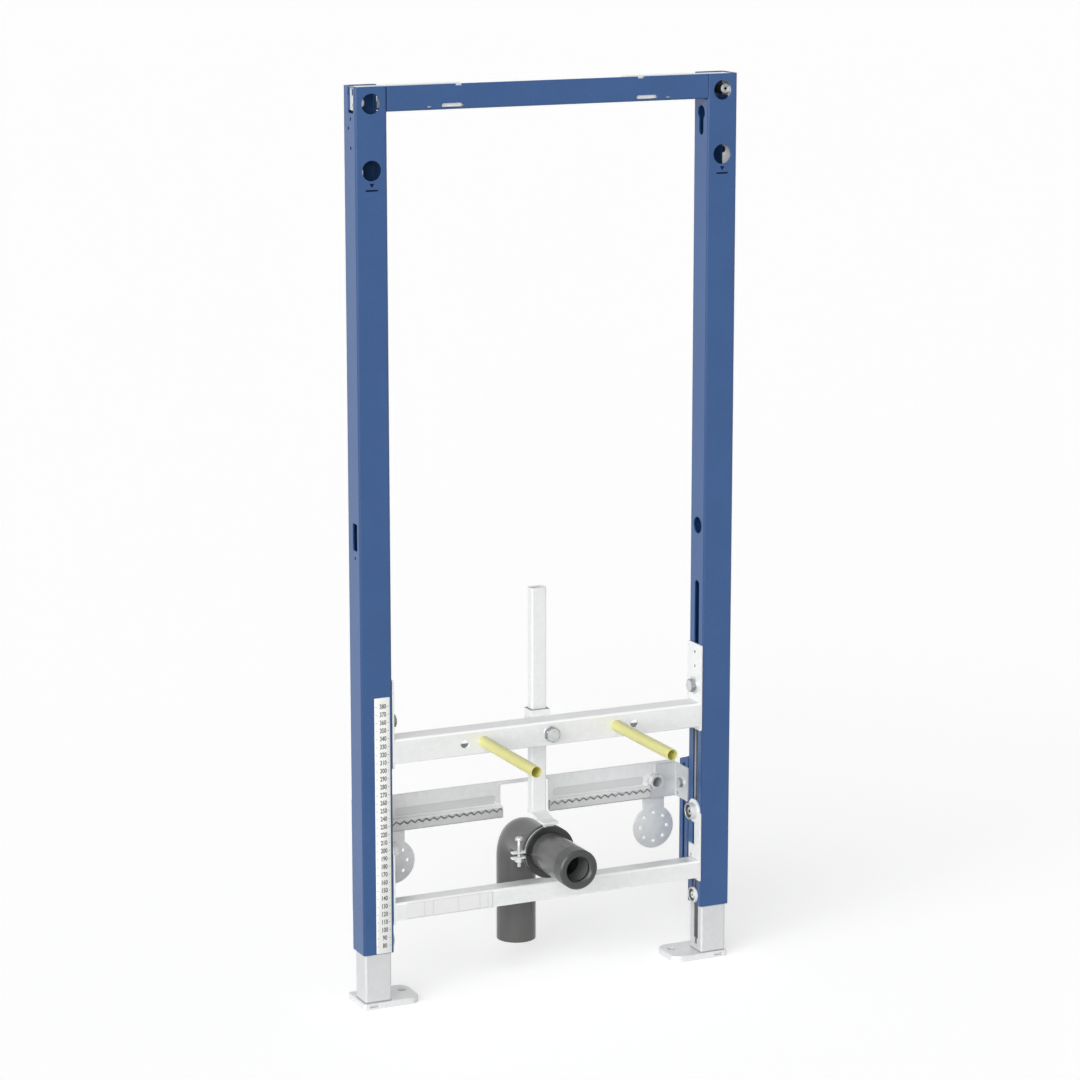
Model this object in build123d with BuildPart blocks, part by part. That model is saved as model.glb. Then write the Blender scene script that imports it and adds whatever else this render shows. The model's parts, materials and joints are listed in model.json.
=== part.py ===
from build123d import *
import os

os.makedirs("parts", exist_ok=True)

# A bidet installation frame: two folded posts and a top bar, telescopic feet,
# a fastening rail with two studs, a lower rail, a toothed tap rail and a clamped waste bend.
# Millimetres, +Z up, -Y towards the bidet. The floor is at z = 0.

# Overall size, with the feet pushed in
frame_width = 500
frame_height = 1120

# Posts, folded from sheet
post_width = 40
post_depth = 37
post_wall = 2
post_bend = 3
post_bottom = 70
slot_width = 12
slot_setback = 17.5
slot_top = 491

# Round wall anchor holes in the front of each post, below its top
anchor_hole = 24
anchor_upper_drop = 20
anchor_lower_drop = 97.5

# Punched openings in the sides of each post; the upper ones are set below its top
corner_radius = 2
opening_width = 16.4
opening_setback = 14.6
opening_rim = 1
opening_clearance = 3
keyhole_diameter = 18
keyhole_drop = 48
keyhole_neck = 11.7
keyhole_length = 27
round_hole = 21
round_hole_z = 561
side_slot_width = 13.7
side_slot_height = 33
side_slot_z = 587
pilot_hole = 4.5

# Top bar, folded from sheet
bar_height = 30
bar_wall = 2
bar_lip = 10
bar_depth = 34
bar_slot_length = 27.5
bar_slot_height = 5
bar_slot_x = 127.2
bar_notch_x = 156.2
bar_notch_width = 5.5
bar_top_notch_x = 119
bar_top_notch_width = 8

# Corner connectors, inverted channels in the bar with a flange in the post
connector_length = 142
connector_wall = 2
connector_gap = 1
connector_slot_width = 12
connector_slot_length = 22
connector_window = 8

# Telescopic feet
foot_gap = 0.6
foot_wall = 2
foot_length = 322
foot_slot_start = 16
plate_height = 8
plate_wall = 3
plate_depth = 54
plate_setback = 1
plate_inner_reach = 36
plate_corner = 14
plate_edge = 4
plate_hole = 11
plate_hole_inset = 12.5
plate_hole_setback = 33
plate_window_width = 11
plate_window_height = 3
brake_diameter = 20
brake_height = 4
brake_above_end = 12

# Fastening rail, a C profile with its open side at the back
rail_height = 31
rail_depth = 30
rail_wall = 2
rail_lip = 7.5
rail_z = 321.5
rail_gap = 0.3
stud_distance = 180
hole_distance = 230
side_hole = 10.5
stud_diameter = 12
stud_hole = 13
stud_length = 118
stud_nut = 18
stud_nut_height = 10
tube_diameter = 14
tube_reach = 152
tube_gap = 0.2

# End plates of the fastening rail, and their bolts
end_plate_wall = 2
end_plate_depth = 36
end_plate_drop = 5.5
end_plate_height = 110
end_bolt_rise = 35
bolt_diameter = 8
bolt_head = 15
bolt_head_height = 6
washer_diameter = 22
washer_height = 2
slide_nut_width = 22
slide_nut_height = 5

# Waste arm in its sleeve behind the fastening rail
arm_width = 20
arm_depth = 14
arm_wall = 2
arm_top = 498
arm_gap = 0.4
sleeve_wall = 2.3
sleeve_height = 44
sleeve_bottom = 301
arm_bolt_head = 17
arm_bolt_head_height = 7

# Waste bend and its pipe clamp
pipe_diameter = 50
pipe_wall = 3
pipe_setback = 102
pipe_bottom = 30
outlet_z = 169.5
bend_radius = 33
pipe_end = 62
collar_length = 20
collar_seat = 16
collar_bore = 32
collar_gap = 0.1
collar_chamfer = 2
collar_mouth = 1.5
clamp_setback = 6.5
clamp_band = 2
clamp_width = 7
clamp_rubber_height = 4.3
clamp_rubber_lip = 2
clamp_rubber_hook = 1.2
clamp_rubber_hook_height = 1
clamp_rubber_split = 3
clamp_gap = 0.2
clamp_split = 5
clamp_ear = 20
clamp_boss = 12
clamp_boss_height = 4.4
clamp_plate_wall = 3
clamp_plate_overhang = 5
clamp_plate_rise = 5
clamp_screw_diameter = 5
clamp_screw_above = 23
clamp_screw_below = 15
clamp_screw_head = 10
clamp_screw_head_height = 4

# Lower rail, a channel open at the back
lower_height = 23
lower_depth = 22
lower_wall = 2
lower_z = 120
lower_neck = 15
lower_tab_depth = 30
lower_tab_height = 44
lower_plate_drop = 4
lower_head = 30
lower_head_rise = 73
knob_diameter = 21
knob_height = 8
knob_socket = 10

# Short slotted rails behind the posts
rear_width = 30
rear_depth = 23
rear_wall = 2
rear_bottom = 110
rear_top = 259
rear_slant = 8
rear_slot = 5.5

# Toothed tap rail and its end brackets
tap_wall = 2
tap_setback = 70
tap_top = 247
tap_ledge_z = 217.5
tap_bottom = 201.5
tap_ledge = 8
tap_gap_left = 36
tap_gap_right = 30
tap_tie = 4.5
tap_bead_height = 10.5
tap_bead_rise = 1.5
tap_bead_corner = 4
tap_bead_margin = 6
tap_tooth = 10
tap_tooth_height = 3.2
tap_tooth_slit = 1.4
tap_tooth_z = 212.4
tap_tooth_margin = 6
tap_bracket_height = 44
tap_bracket_z = 222
tap_port = 13
tap_port_inset_left = 15
tap_port_inset_right = 30.5
tap_port_wall = 3
tap_port_reach = 6
tap_port_length = 26
tap_port_gap = 0.3
disc_diameter = 56
disc_wall = 2.5
disc_inset = 30.5
disc_z = 160.5
disc_tab = 30
disc_tab_lap = 4
disc_holes = 8
disc_hole = 4.5
disc_ring_diameter = 37

# Places that follow from the sizes above
post_x = (frame_width - post_width) / 2
post_inner = frame_width / 2 - post_width
face_y = (tube_reach - pipe_setback - pipe_diameter / 2) / 2
slot_y = face_y + slot_setback
bar_bottom = frame_height - bar_height
anchor_upper_z = frame_height - anchor_upper_drop
anchor_lower_z = frame_height - anchor_lower_drop
opening_top = frame_height - opening_rim
opening_bottom = bar_bottom + bar_wall - opening_clearance
opening_height = opening_top - opening_bottom
keyhole_z = frame_height - keyhole_drop
keyhole_bottom = keyhole_z - keyhole_length
connector_width = bar_depth - 2 * (bar_wall + connector_gap)
connector_y = face_y + bar_depth / 2
connector_inner = frame_width / 2 - connector_length
connector_outer = frame_width / 2 - post_wall - connector_gap
connector_top = frame_height - connector_gap
connector_bottom = bar_bottom + bar_wall
rail_bottom = rail_z - rail_height / 2
rail_back = face_y + rail_depth
plate_inner = post_inner - rail_gap - end_plate_wall
end_plate_bottom = rail_bottom - end_plate_drop
end_bolt_z = rail_z + end_bolt_rise
arm_front = rail_back + sleeve_wall + arm_gap
clamp_inner = pipe_diameter / 2 + clamp_gap + clamp_rubber_height + clamp_gap
clamp_outer = clamp_inner + clamp_band
clamp_y = face_y + clamp_setback
clamp_plate_bottom = outlet_z + clamp_outer + clamp_boss_height
arm_bottom = clamp_plate_bottom + clamp_plate_wall + clamp_plate_rise
lower_bottom = lower_z - lower_height / 2
lower_inner = post_inner - end_plate_wall
lower_head_z = lower_z + lower_head_rise
rear_y = face_y + post_depth
tap_y = face_y + tap_setback
disc_x = post_inner - disc_inset
sides = (("left", -1), ("right", 1))

# Posts: folded tubes with a long slot towards the middle of the frame
for side, s in sides:
    with BuildPart() as post:
        with BuildSketch(Plane.XY.offset(post_bottom)):
            with Locations((s * post_x, face_y + post_depth / 2)):
                RectangleRounded(post_width, post_depth, post_bend)
                RectangleRounded(
                    post_width - 2 * post_wall,
                    post_depth - 2 * post_wall,
                    max(post_bend - post_wall, 0.2),
                    mode=Mode.SUBTRACT,
                )
        extrude(amount=frame_height - post_bottom)
        # Inner side: adjusting slot, keyhole and round hole
        with BuildSketch(Plane.YZ.offset(s * post_inner)):
            slot_round_z = slot_top - slot_width / 2
            with Locations((slot_y, (post_bottom + slot_round_z) / 2)):
                Rectangle(slot_width, slot_round_z - post_bottom)
            with Locations((slot_y, slot_round_z)):
                Circle(slot_width / 2)
            with Locations((slot_y, keyhole_z)):
                Circle(keyhole_diameter / 2)
            keyhole_round_z = keyhole_bottom + keyhole_neck / 2
            with Locations((slot_y, (keyhole_z + keyhole_round_z) / 2)):
                Rectangle(keyhole_neck, keyhole_z - keyhole_round_z)
            with Locations((slot_y, keyhole_round_z)):
                Circle(keyhole_neck / 2)
            with Locations((slot_y, round_hole_z)):
                Circle(round_hole / 2)
        extrude(amount=s * post_wall, mode=Mode.SUBTRACT)
        # Outer side: one tall slot and pilot holes
        with BuildSketch(Plane.YZ.offset(s * frame_width / 2)):
            with Locations((face_y + opening_setback, side_slot_z)):
                RectangleRounded(side_slot_width, side_slot_height, corner_radius)
            with Locations(
                (face_y + opening_setback, opening_bottom - 1.5 * pilot_hole),
                (face_y + opening_setback + 1.5 * pilot_hole, opening_bottom - 4 * pilot_hole),
                (face_y + opening_setback, opening_bottom - 9 * pilot_hole),
                (face_y + opening_setback, side_slot_z - side_slot_height / 2 - 2 * pilot_hole),
            ):
                Circle(pilot_hole / 2)
            # Opening in front of the connector's end flange
            with Locations((face_y + opening_setback, opening_bottom + opening_height / 2)):
                RectangleRounded(opening_width, opening_height, corner_radius / 2)
        extrude(amount=-s * post_wall, mode=Mode.SUBTRACT)
        # Notch for the connector, open at the top
        with BuildSketch(Plane.YZ.offset(s * post_inner)):
            with Locations((connector_y, (opening_bottom + frame_height) / 2)):
                Rectangle(connector_width + 2 * connector_gap, frame_height - opening_bottom)
        extrude(amount=s * post_wall, mode=Mode.SUBTRACT)
        # Wall anchor holes in the front
        with BuildSketch(Plane.XZ.offset(-face_y)):
            with Locations((s * post_x, anchor_upper_z), (s * post_x, anchor_lower_z)):
                Circle(anchor_hole / 2)
        extrude(amount=-post_wall, mode=Mode.SUBTRACT)
    post.part.label = f"{side}_post"
    export_step(post.part, f"parts/{side}_post.step")

# Top bar: front web, floor and a short rear lip
with BuildPart() as top_bar:
    with BuildSketch(Plane.YZ):
        with BuildLine():
            FilletPolyline(
                (face_y + bar_wall / 2, frame_height),
                (face_y + bar_wall / 2, bar_bottom + bar_wall / 2),
                (face_y + bar_depth - bar_wall / 2, bar_bottom + bar_wall / 2),
                (face_y + bar_depth - bar_wall / 2, bar_bottom + bar_lip),
                radius=bar_wall,
            )
        trace(line_width=bar_wall)
    extrude(amount=post_inner, both=True)
    with BuildSketch(Plane.XZ.offset(-face_y)):
        for s in (-1, 1):
            with Locations((s * bar_slot_x, bar_bottom + bar_slot_height)):
                SlotOverall(bar_slot_length, bar_slot_height)
            with Locations((s * bar_notch_x, bar_bottom + bar_slot_height / 2)):
                Rectangle(bar_notch_width, bar_slot_height)
            with Locations((s * bar_top_notch_x, frame_height)):
                Rectangle(bar_top_notch_width, bar_slot_height)
    extrude(amount=-bar_wall, mode=Mode.SUBTRACT)
top_bar.part.label = "top_bar"
export_step(top_bar.part, "parts/top_bar.step")

# Corner connectors: a top plate over bar and post, two legs in the bar, one flange in the post
for side, s in sides:
    with BuildPart() as connector:
        with BuildSketch(Plane.XY.offset(connector_top)):
            with Locations((s * (connector_inner + connector_outer) / 2, connector_y)):
                Rectangle(connector_outer - connector_inner, connector_width)
            with Locations((s * (post_x + post_width / 4), connector_y)):
                SlotOverall(
                    connector_slot_length, connector_slot_width, rotation=90, mode=Mode.SUBTRACT
                )
            with Locations(
                (s * (post_inner - connector_slot_width), connector_y),
                (s * (post_inner - connector_length / 4), connector_y),
                (s * (connector_inner + connector_slot_width), connector_y),
            ):
                Circle(pilot_hole / 2, mode=Mode.SUBTRACT)
        extrude(amount=-connector_wall)
        leg_offset = (connector_width - connector_wall) / 2
        with BuildSketch(Plane.XY.offset(connector_top)):
            with Locations(
                (s * (connector_inner + post_inner) / 2, connector_y - leg_offset),
                (s * (connector_inner + post_inner) / 2, connector_y + leg_offset),
            ):
                Rectangle(post_inner - connector_inner, connector_wall)
            with Locations((s * (connector_outer - connector_wall / 2), connector_y)):
                Rectangle(connector_wall, connector_width)
        extrude(amount=connector_bottom - connector_top)
        # Window and screw hole in the flange, seen through the side of the post
        window_z = connector_top - connector_wall - connector_window / 2
        screw_z = (connector_bottom + connector_top) / 2 - connector_window
        with BuildSketch(Plane.YZ.offset(s * connector_outer)):
            with Locations((face_y + opening_setback, window_z)):
                Rectangle(opening_width - 2 * connector_wall, connector_window)
            with Locations((face_y + opening_setback, screw_z)):
                Circle(pilot_hole / 2)
        extrude(amount=-s * connector_wall, mode=Mode.SUBTRACT)
    connector.part.label = f"{side}_corner_connector"
    export_step(connector.part, f"parts/{side}_corner_connector.step")

# Feet: slotted tubes that telescope in the posts, each on a pressed floor plate
foot_width = post_width - 2 * (post_wall + foot_gap)
foot_depth = post_depth - 2 * (post_wall + foot_gap)
for side, s in sides:
    with BuildPart() as foot_tube:
        with BuildSketch(Plane.XY.offset(plate_height)):
            with Locations((s * post_x, face_y + post_depth / 2)):
                RectangleRounded(foot_width, foot_depth, post_bend)
                RectangleRounded(
                    foot_width - 2 * foot_wall,
                    foot_depth - 2 * foot_wall,
                    max(post_bend - foot_wall, 0.2),
                    mode=Mode.SUBTRACT,
                )
        extrude(amount=foot_length)
        with BuildSketch(Plane.YZ.offset(s * (post_x - foot_width / 2))):
            slot_length = foot_length - foot_slot_start
            with Locations((slot_y, plate_height + foot_slot_start + slot_length / 2)):
                Rectangle(slot_width, slot_length)
            with Locations((slot_y, plate_height + foot_slot_start)):
                Rectangle(slot_width / 2, foot_slot_start)
        extrude(amount=s * foot_wall, mode=Mode.SUBTRACT)
    foot_tube.part.label = f"{side}_foot_tube"
    export_step(foot_tube.part, f"parts/{side}_foot_tube.step")

    plate_y = face_y + plate_setback + plate_depth / 2
    plate_end = post_inner - plate_inner_reach
    with BuildPart() as foot_plate:
        with BuildSketch() as plate_outline:
            with Locations((s * (plate_end + frame_width / 2) / 2, plate_y)):
                Rectangle(frame_width / 2 - plate_end, plate_depth)
            fillet(plate_outline.vertices().group_by(Axis.X)[0 if s > 0 else -1], plate_corner)
            fillet(plate_outline.vertices().group_by(Axis.X)[-1 if s > 0 else 0], plate_edge)
        extrude(amount=plate_height)
        with BuildSketch():
            add(plate_outline.sketch)
            offset(amount=-plate_wall, mode=Mode.REPLACE)
        extrude(amount=plate_height - plate_wall, mode=Mode.SUBTRACT)
        plate_hole_y = face_y + plate_setback + plate_hole_setback
        with Locations((s * (plate_end + plate_hole_inset), plate_hole_y, plate_height)):
            Hole(plate_hole / 2)
        # Window in the front skirt, under the tube
        with BuildSketch(Plane.XZ.offset(-face_y - plate_setback)):
            with Locations((s * (post_x + post_width / 6), plate_height / 2)):
                Rectangle(plate_window_width, plate_window_height)
        extrude(amount=-plate_wall, mode=Mode.SUBTRACT)
        top_rim = foot_plate.faces().sort_by(Axis.Z)[-1].outer_wire().edges()
        fillet(top_rim, plate_wall * 0.6)
    foot_plate.part.label = f"{side}_foot_plate"
    export_step(foot_plate.part, f"parts/{side}_foot_plate.step")

    with BuildPart() as foot_brake:
        brake_plane = Plane.YZ.offset(s * post_inner)
        with BuildSketch(brake_plane):
            with Locations((slot_y, post_bottom + brake_above_end)):
                Circle(brake_diameter / 2)
        extrude(amount=-s * brake_height)
        with BuildSketch(brake_plane):
            with Locations((slot_y, post_bottom + brake_above_end)):
                Circle(bolt_diameter / 2)
        extrude(amount=s * post_wall)
        with BuildSketch(Plane.YZ.offset(s * (post_inner - brake_height))):
            with Locations((slot_y, post_bottom + brake_above_end)):
                RegularPolygon(bolt_diameter / 2, 6)
        extrude(amount=s * brake_height / 2, mode=Mode.SUBTRACT)
    foot_brake.part.label = f"{side}_foot_brake"
    export_step(foot_brake.part, f"parts/{side}_foot_brake.step")

# Fastening rail: C profile with stud holes, plain holes and a hole for the arm bolt
with BuildPart() as fastening_rail:
    with BuildSketch(Plane.YZ):
        with BuildLine():
            near = face_y + rail_wall / 2
            far = rail_back - rail_wall / 2
            low = rail_bottom + rail_wall / 2
            high = rail_bottom + rail_height - rail_wall / 2
            FilletPolyline(
                (far, rail_bottom + rail_lip),
                (far, low),
                (near, low),
                (near, high),
                (far, high),
                (far, rail_bottom + rail_height - rail_lip),
                radius=rail_wall,
            )
        trace(line_width=rail_wall)
    extrude(amount=plate_inner, both=True)
    with BuildSketch(Plane.XZ.offset(-face_y)):
        with Locations((-stud_distance / 2, rail_z), (0, rail_z), (stud_distance / 2, rail_z)):
            Circle(stud_hole / 2)
        with Locations((-hole_distance / 2, rail_z), (hole_distance / 2, rail_z)):
            Circle(side_hole / 2)
    extrude(amount=-rail_wall, mode=Mode.SUBTRACT)
fastening_rail.part.label = "fastening_rail"
export_step(fastening_rail.part, "parts/fastening_rail.step")

for side, s in sides:
    # End plate that slides along the post
    with BuildPart() as end_plate:
        with BuildSketch(Plane.YZ.offset(s * plate_inner)):
            with Locations((face_y + end_plate_depth / 2, end_plate_bottom + end_plate_height / 2)):
                RectangleRounded(end_plate_depth, end_plate_height, corner_radius)
            with Locations((slot_y, end_bolt_z)):
                Circle(bolt_diameter / 2 + rail_gap, mode=Mode.SUBTRACT)
            with Locations(
                (slot_y, end_plate_bottom + end_plate_height - 2.5 * pilot_hole),
                (slot_y, end_plate_bottom + end_plate_height - 6.5 * pilot_hole),
            ):
                Circle(pilot_hole / 2, mode=Mode.SUBTRACT)
        extrude(amount=s * end_plate_wall)
    end_plate.part.label = f"{side}_rail_end_plate"
    export_step(end_plate.part, f"parts/{side}_rail_end_plate.step")

    # Bolt with washer outside and a sliding nut inside the post
    with BuildPart() as rail_bolt:
        bolt_plane = Plane.YZ.offset(s * plate_inner)
        with BuildSketch(bolt_plane):
            with Locations((slot_y, end_bolt_z)):
                Circle(washer_diameter / 2)
        extrude(amount=-s * washer_height)
        with BuildSketch(Plane.YZ.offset(s * (plate_inner - washer_height))):
            with Locations((slot_y, end_bolt_z)):
                RegularPolygon(bolt_head / 2, 6, major_radius=False)
        extrude(amount=-s * bolt_head_height)
        with BuildSketch(bolt_plane):
            with Locations((slot_y, end_bolt_z)):
                Circle(bolt_diameter / 2)
        extrude(amount=s * (end_plate_wall + rail_gap + post_wall + rail_gap))
        with BuildSketch(Plane.YZ.offset(s * (post_inner + post_wall + rail_gap))):
            with Locations((slot_y, end_bolt_z)):
                RectangleRounded(slide_nut_width, slide_nut_width, corner_radius)
        extrude(amount=s * slide_nut_height)
    rail_bolt.part.label = f"{side}_rail_bolt"
    export_step(rail_bolt.part, f"parts/{side}_rail_bolt.step")

    # Threaded stud with its nut inside the rail
    with BuildPart() as stud:
        with BuildSketch(Plane.XZ.offset(-face_y - rail_wall - stud_nut_height)):
            with Locations((s * stud_distance / 2, rail_z)):
                Circle(stud_diameter / 2)
        extrude(amount=stud_length + rail_wall + stud_nut_height)
        with BuildSketch(Plane.XZ.offset(-face_y - rail_wall)):
            with Locations((s * stud_distance / 2, rail_z)):
                RegularPolygon(stud_nut / 2, 6, major_radius=False)
        extrude(amount=-stud_nut_height)
    stud.part.label = f"{side}_stud"
    export_step(stud.part, f"parts/{side}_stud.step")

    # Protective tube pushed over the stud
    with BuildPart() as stud_tube:
        with BuildSketch(Plane.XZ.offset(-face_y)):
            with Locations((s * stud_distance / 2, rail_z)):
                Circle(tube_diameter / 2)
                Circle(stud_diameter / 2 + tube_gap, mode=Mode.SUBTRACT)
        extrude(amount=tube_reach)
    stud_tube.part.label = f"{side}_stud_tube"
    export_step(stud_tube.part, f"parts/{side}_stud_tube.step")

# Sleeve on the back of the rail, and the bolt that locks the arm in it
sleeve_depth = arm_depth + 2 * (sleeve_wall + arm_gap)
sleeve_width = arm_width + 2 * (sleeve_wall + arm_gap)
with BuildPart() as arm_sleeve:
    with BuildSketch(Plane.XY.offset(sleeve_bottom)):
        with Locations((0, rail_back + sleeve_depth / 2)):
            Rectangle(sleeve_width, sleeve_depth)
            Rectangle(arm_width + 2 * arm_gap, arm_depth + 2 * arm_gap, mode=Mode.SUBTRACT)
    extrude(amount=sleeve_height)
arm_sleeve.part.label = "arm_sleeve"
export_step(arm_sleeve.part, "parts/arm_sleeve.step")

with BuildPart() as arm_bolt:
    with BuildSketch(Plane.XZ.offset(-face_y)):
        with Locations((0, rail_z)):
            Circle(washer_diameter / 2)
    extrude(amount=washer_height)
    with BuildSketch(Plane.XZ.offset(-face_y + washer_height)):
        with Locations((0, rail_z)):
            RegularPolygon(arm_bolt_head / 2, 6, major_radius=False)
    extrude(amount=arm_bolt_head_height)
    with BuildSketch(Plane.XZ.offset(-face_y)):
        with Locations((0, rail_z)):
            Circle(bolt_diameter / 2)
    extrude(amount=-rail_depth)
arm_bolt.part.label = "arm_bolt"
export_step(arm_bolt.part, "parts/arm_bolt.step")

# Waste arm: a square tube, open at the top
with BuildPart() as arm_bar:
    with BuildSketch(Plane.XY.offset(arm_bottom)):
        with Locations((0, arm_front + arm_depth / 2)):
            RectangleRounded(arm_width, arm_depth, corner_radius)
            RectangleRounded(
                arm_width - 2 * arm_wall,
                arm_depth - 2 * arm_wall,
                corner_radius / 4,
                mode=Mode.SUBTRACT,
            )
    extrude(amount=arm_top - arm_bottom)
arm_bar.part.label = "arm_bar"
export_step(arm_bar.part, "parts/arm_bar.step")

# Stepped plate under the arm that carries the pipe clamp
with BuildPart() as clamp_plate:
    clamp_plate_low = clamp_plate_bottom + clamp_plate_wall / 2
    clamp_plate_high = clamp_plate_low + clamp_plate_rise
    with BuildSketch(Plane.YZ):
        with BuildLine():
            FilletPolyline(
                (arm_front + arm_depth, clamp_plate_high),
                (arm_front - arm_gap, clamp_plate_high),
                (clamp_y + clamp_width, clamp_plate_low),
                (clamp_y - clamp_width / 2 - clamp_plate_overhang, clamp_plate_low),
                radius=clamp_plate_wall,
            )
        trace(line_width=clamp_plate_wall)
    extrude(amount=arm_width / 2, both=True)
clamp_plate.part.label = "clamp_plate"
export_step(clamp_plate.part, "parts/clamp_plate.step")

# Pipe clamp: a split band with two ears and a boss under the plate
with BuildPart() as pipe_clamp:
    with BuildSketch(Plane.XZ.offset(-clamp_y + clamp_width / 2)):
        with Locations((0, outlet_z)):
            Circle(clamp_outer)
            with Locations((-clamp_inner - clamp_ear / 2, 0)):
                Rectangle(clamp_ear, clamp_split + 2 * clamp_band)
            with Locations((0, clamp_outer)):
                Rectangle(clamp_boss, 2 * clamp_boss_height)
            Circle(clamp_inner, mode=Mode.SUBTRACT)
            with Locations((-clamp_inner - clamp_ear / 2, 0)):
                Rectangle(clamp_ear + 2 * clamp_band, clamp_split, mode=Mode.SUBTRACT)
    extrude(amount=-clamp_width)
    with Locations((-clamp_inner - clamp_ear / 2, clamp_y, outlet_z + clamp_split)):
        Hole(clamp_screw_diameter / 2 + clamp_gap, depth=3 * clamp_split)
pipe_clamp.part.label = "pipe_clamp"
export_step(pipe_clamp.part, "parts/pipe_clamp.step")

with BuildPart() as clamp_screw:
    screw_x = -clamp_inner - clamp_ear / 2
    with BuildSketch(Plane.XY.offset(outlet_z - clamp_screw_below)):
        with Locations((screw_x, clamp_y)):
            Circle(clamp_screw_diameter / 2)
    extrude(amount=clamp_screw_below + clamp_screw_above)
    with BuildSketch(Plane.XY.offset(outlet_z + clamp_screw_above - clamp_screw_head_height)):
        with Locations((screw_x, clamp_y)):
            Circle(clamp_screw_head / 2)
    extrude(amount=clamp_screw_head_height)
    with BuildSketch(Plane.XY.offset(outlet_z - clamp_split / 2 - clamp_band)):
        with Locations((screw_x, clamp_y)):
            RegularPolygon(clamp_screw_head / 2, 6, major_radius=False)
    extrude(amount=-clamp_screw_head_height)
clamp_screw.part.label = "clamp_screw"
export_step(clamp_screw.part, "parts/clamp_screw.step")

# Split rubber lining whose lips hook over both sides of the band
with BuildPart() as clamp_rubber:
    with BuildSketch(Plane.YZ):
        rubber_inner = pipe_diameter / 2 + clamp_gap
        rubber_width = clamp_width + 2 * (clamp_rubber_lip + clamp_gap)
        rubber_outer = clamp_outer + clamp_gap + clamp_rubber_hook_height
        lip_offset = (rubber_width - clamp_rubber_lip) / 2
        with Locations((clamp_y, outlet_z + rubber_inner + clamp_rubber_height / 2)):
            Rectangle(rubber_width, clamp_rubber_height)
        with Locations(
            (clamp_y - lip_offset, outlet_z + (rubber_inner + rubber_outer) / 2),
            (clamp_y + lip_offset, outlet_z + (rubber_inner + rubber_outer) / 2),
        ):
            Rectangle(clamp_rubber_lip, rubber_outer - rubber_inner)
        hook_offset = (clamp_width - clamp_rubber_hook) / 2
        hook_z = outlet_z + rubber_outer - clamp_rubber_hook_height / 2
        with Locations((clamp_y - hook_offset, hook_z), (clamp_y + hook_offset, hook_z)):
            Rectangle(clamp_rubber_hook + 2 * clamp_gap, clamp_rubber_hook_height)
    revolve(axis=Axis((0, 0, outlet_z), (0, 1, 0)))
    with Locations((-clamp_inner, clamp_y, outlet_z)):
        Box(4 * clamp_rubber_height, 2 * rubber_width, clamp_rubber_split, mode=Mode.SUBTRACT)
    # The hooks stop short of the ears and of the boss
    hook_cut = clamp_width + 2 * clamp_gap
    with Locations((-clamp_outer, clamp_y, outlet_z)):
        Box(3 * clamp_band, hook_cut, clamp_split + 3 * clamp_band, mode=Mode.SUBTRACT)
    with Locations((0, clamp_y, outlet_z + clamp_outer)):
        Box(clamp_boss + clamp_band, hook_cut, 2 * clamp_band, mode=Mode.SUBTRACT)
clamp_rubber.part.label = "clamp_rubber"
export_step(clamp_rubber.part, "parts/clamp_rubber.step")

# Waste bend: one pipe swept from the vertical leg to the outlet
pipe_y = face_y + pipe_setback
with BuildPart() as waste_bend:
    with BuildLine(Plane.YZ):
        FilletPolyline(
            (pipe_y, pipe_bottom),
            (pipe_y, outlet_z),
            (face_y - pipe_end, outlet_z),
            radius=bend_radius,
        )
    with BuildSketch(Plane.XY.offset(pipe_bottom)):
        with Locations((0, pipe_y)):
            Circle(pipe_diameter / 2)
            Circle(pipe_diameter / 2 - pipe_wall, mode=Mode.SUBTRACT)
    sweep()
waste_bend.part.label = "waste_bend"
export_step(waste_bend.part, "parts/waste_bend.step")

# Rubber collar in the mouth of the bend
with BuildPart() as waste_collar:
    with BuildSketch(Plane.YZ):
        seat_radius = pipe_diameter / 2 - pipe_wall - collar_gap
        mouth_y = face_y - pipe_end
        lip_height = pipe_diameter / 2 - collar_bore / 2
        with Locations((mouth_y - collar_length / 2, outlet_z + collar_bore / 2 + lip_height / 2)):
            Rectangle(collar_length, lip_height)
        with Locations(
            (mouth_y + collar_seat / 2, outlet_z + (collar_bore / 2 + seat_radius) / 2)
        ):
            Rectangle(collar_seat, seat_radius - collar_bore / 2)
    revolve(axis=Axis((0, 0, outlet_z), (0, 1, 0)))
    mouth_edges = waste_collar.edges().filter_by(GeomType.CIRCLE).group_by(Axis.Y)[0]
    chamfer(mouth_edges.sort_by(SortBy.RADIUS)[-1], collar_chamfer)
    mouth_edges = waste_collar.edges().filter_by(GeomType.CIRCLE).group_by(Axis.Y)[0]
    chamfer(mouth_edges.sort_by(SortBy.RADIUS)[0], collar_mouth)
waste_collar.part.label = "waste_collar"
export_step(waste_collar.part, "parts/waste_collar.step")

# Lower rail: channel between two end plates that hook onto the posts
with BuildPart() as lower_rail:
    with BuildSketch(Plane.YZ):
        with BuildLine():
            FilletPolyline(
                (face_y + lower_depth, lower_bottom + lower_wall / 2),
                (face_y + lower_wall / 2, lower_bottom + lower_wall / 2),
                (face_y + lower_wall / 2, lower_bottom + lower_height - lower_wall / 2),
                (face_y + lower_depth, lower_bottom + lower_height - lower_wall / 2),
                radius=lower_wall,
            )
        trace(line_width=lower_wall)
    extrude(amount=lower_inner, both=True)
lower_rail.part.label = "lower_rail"
export_step(lower_rail.part, "parts/lower_rail.step")

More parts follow.
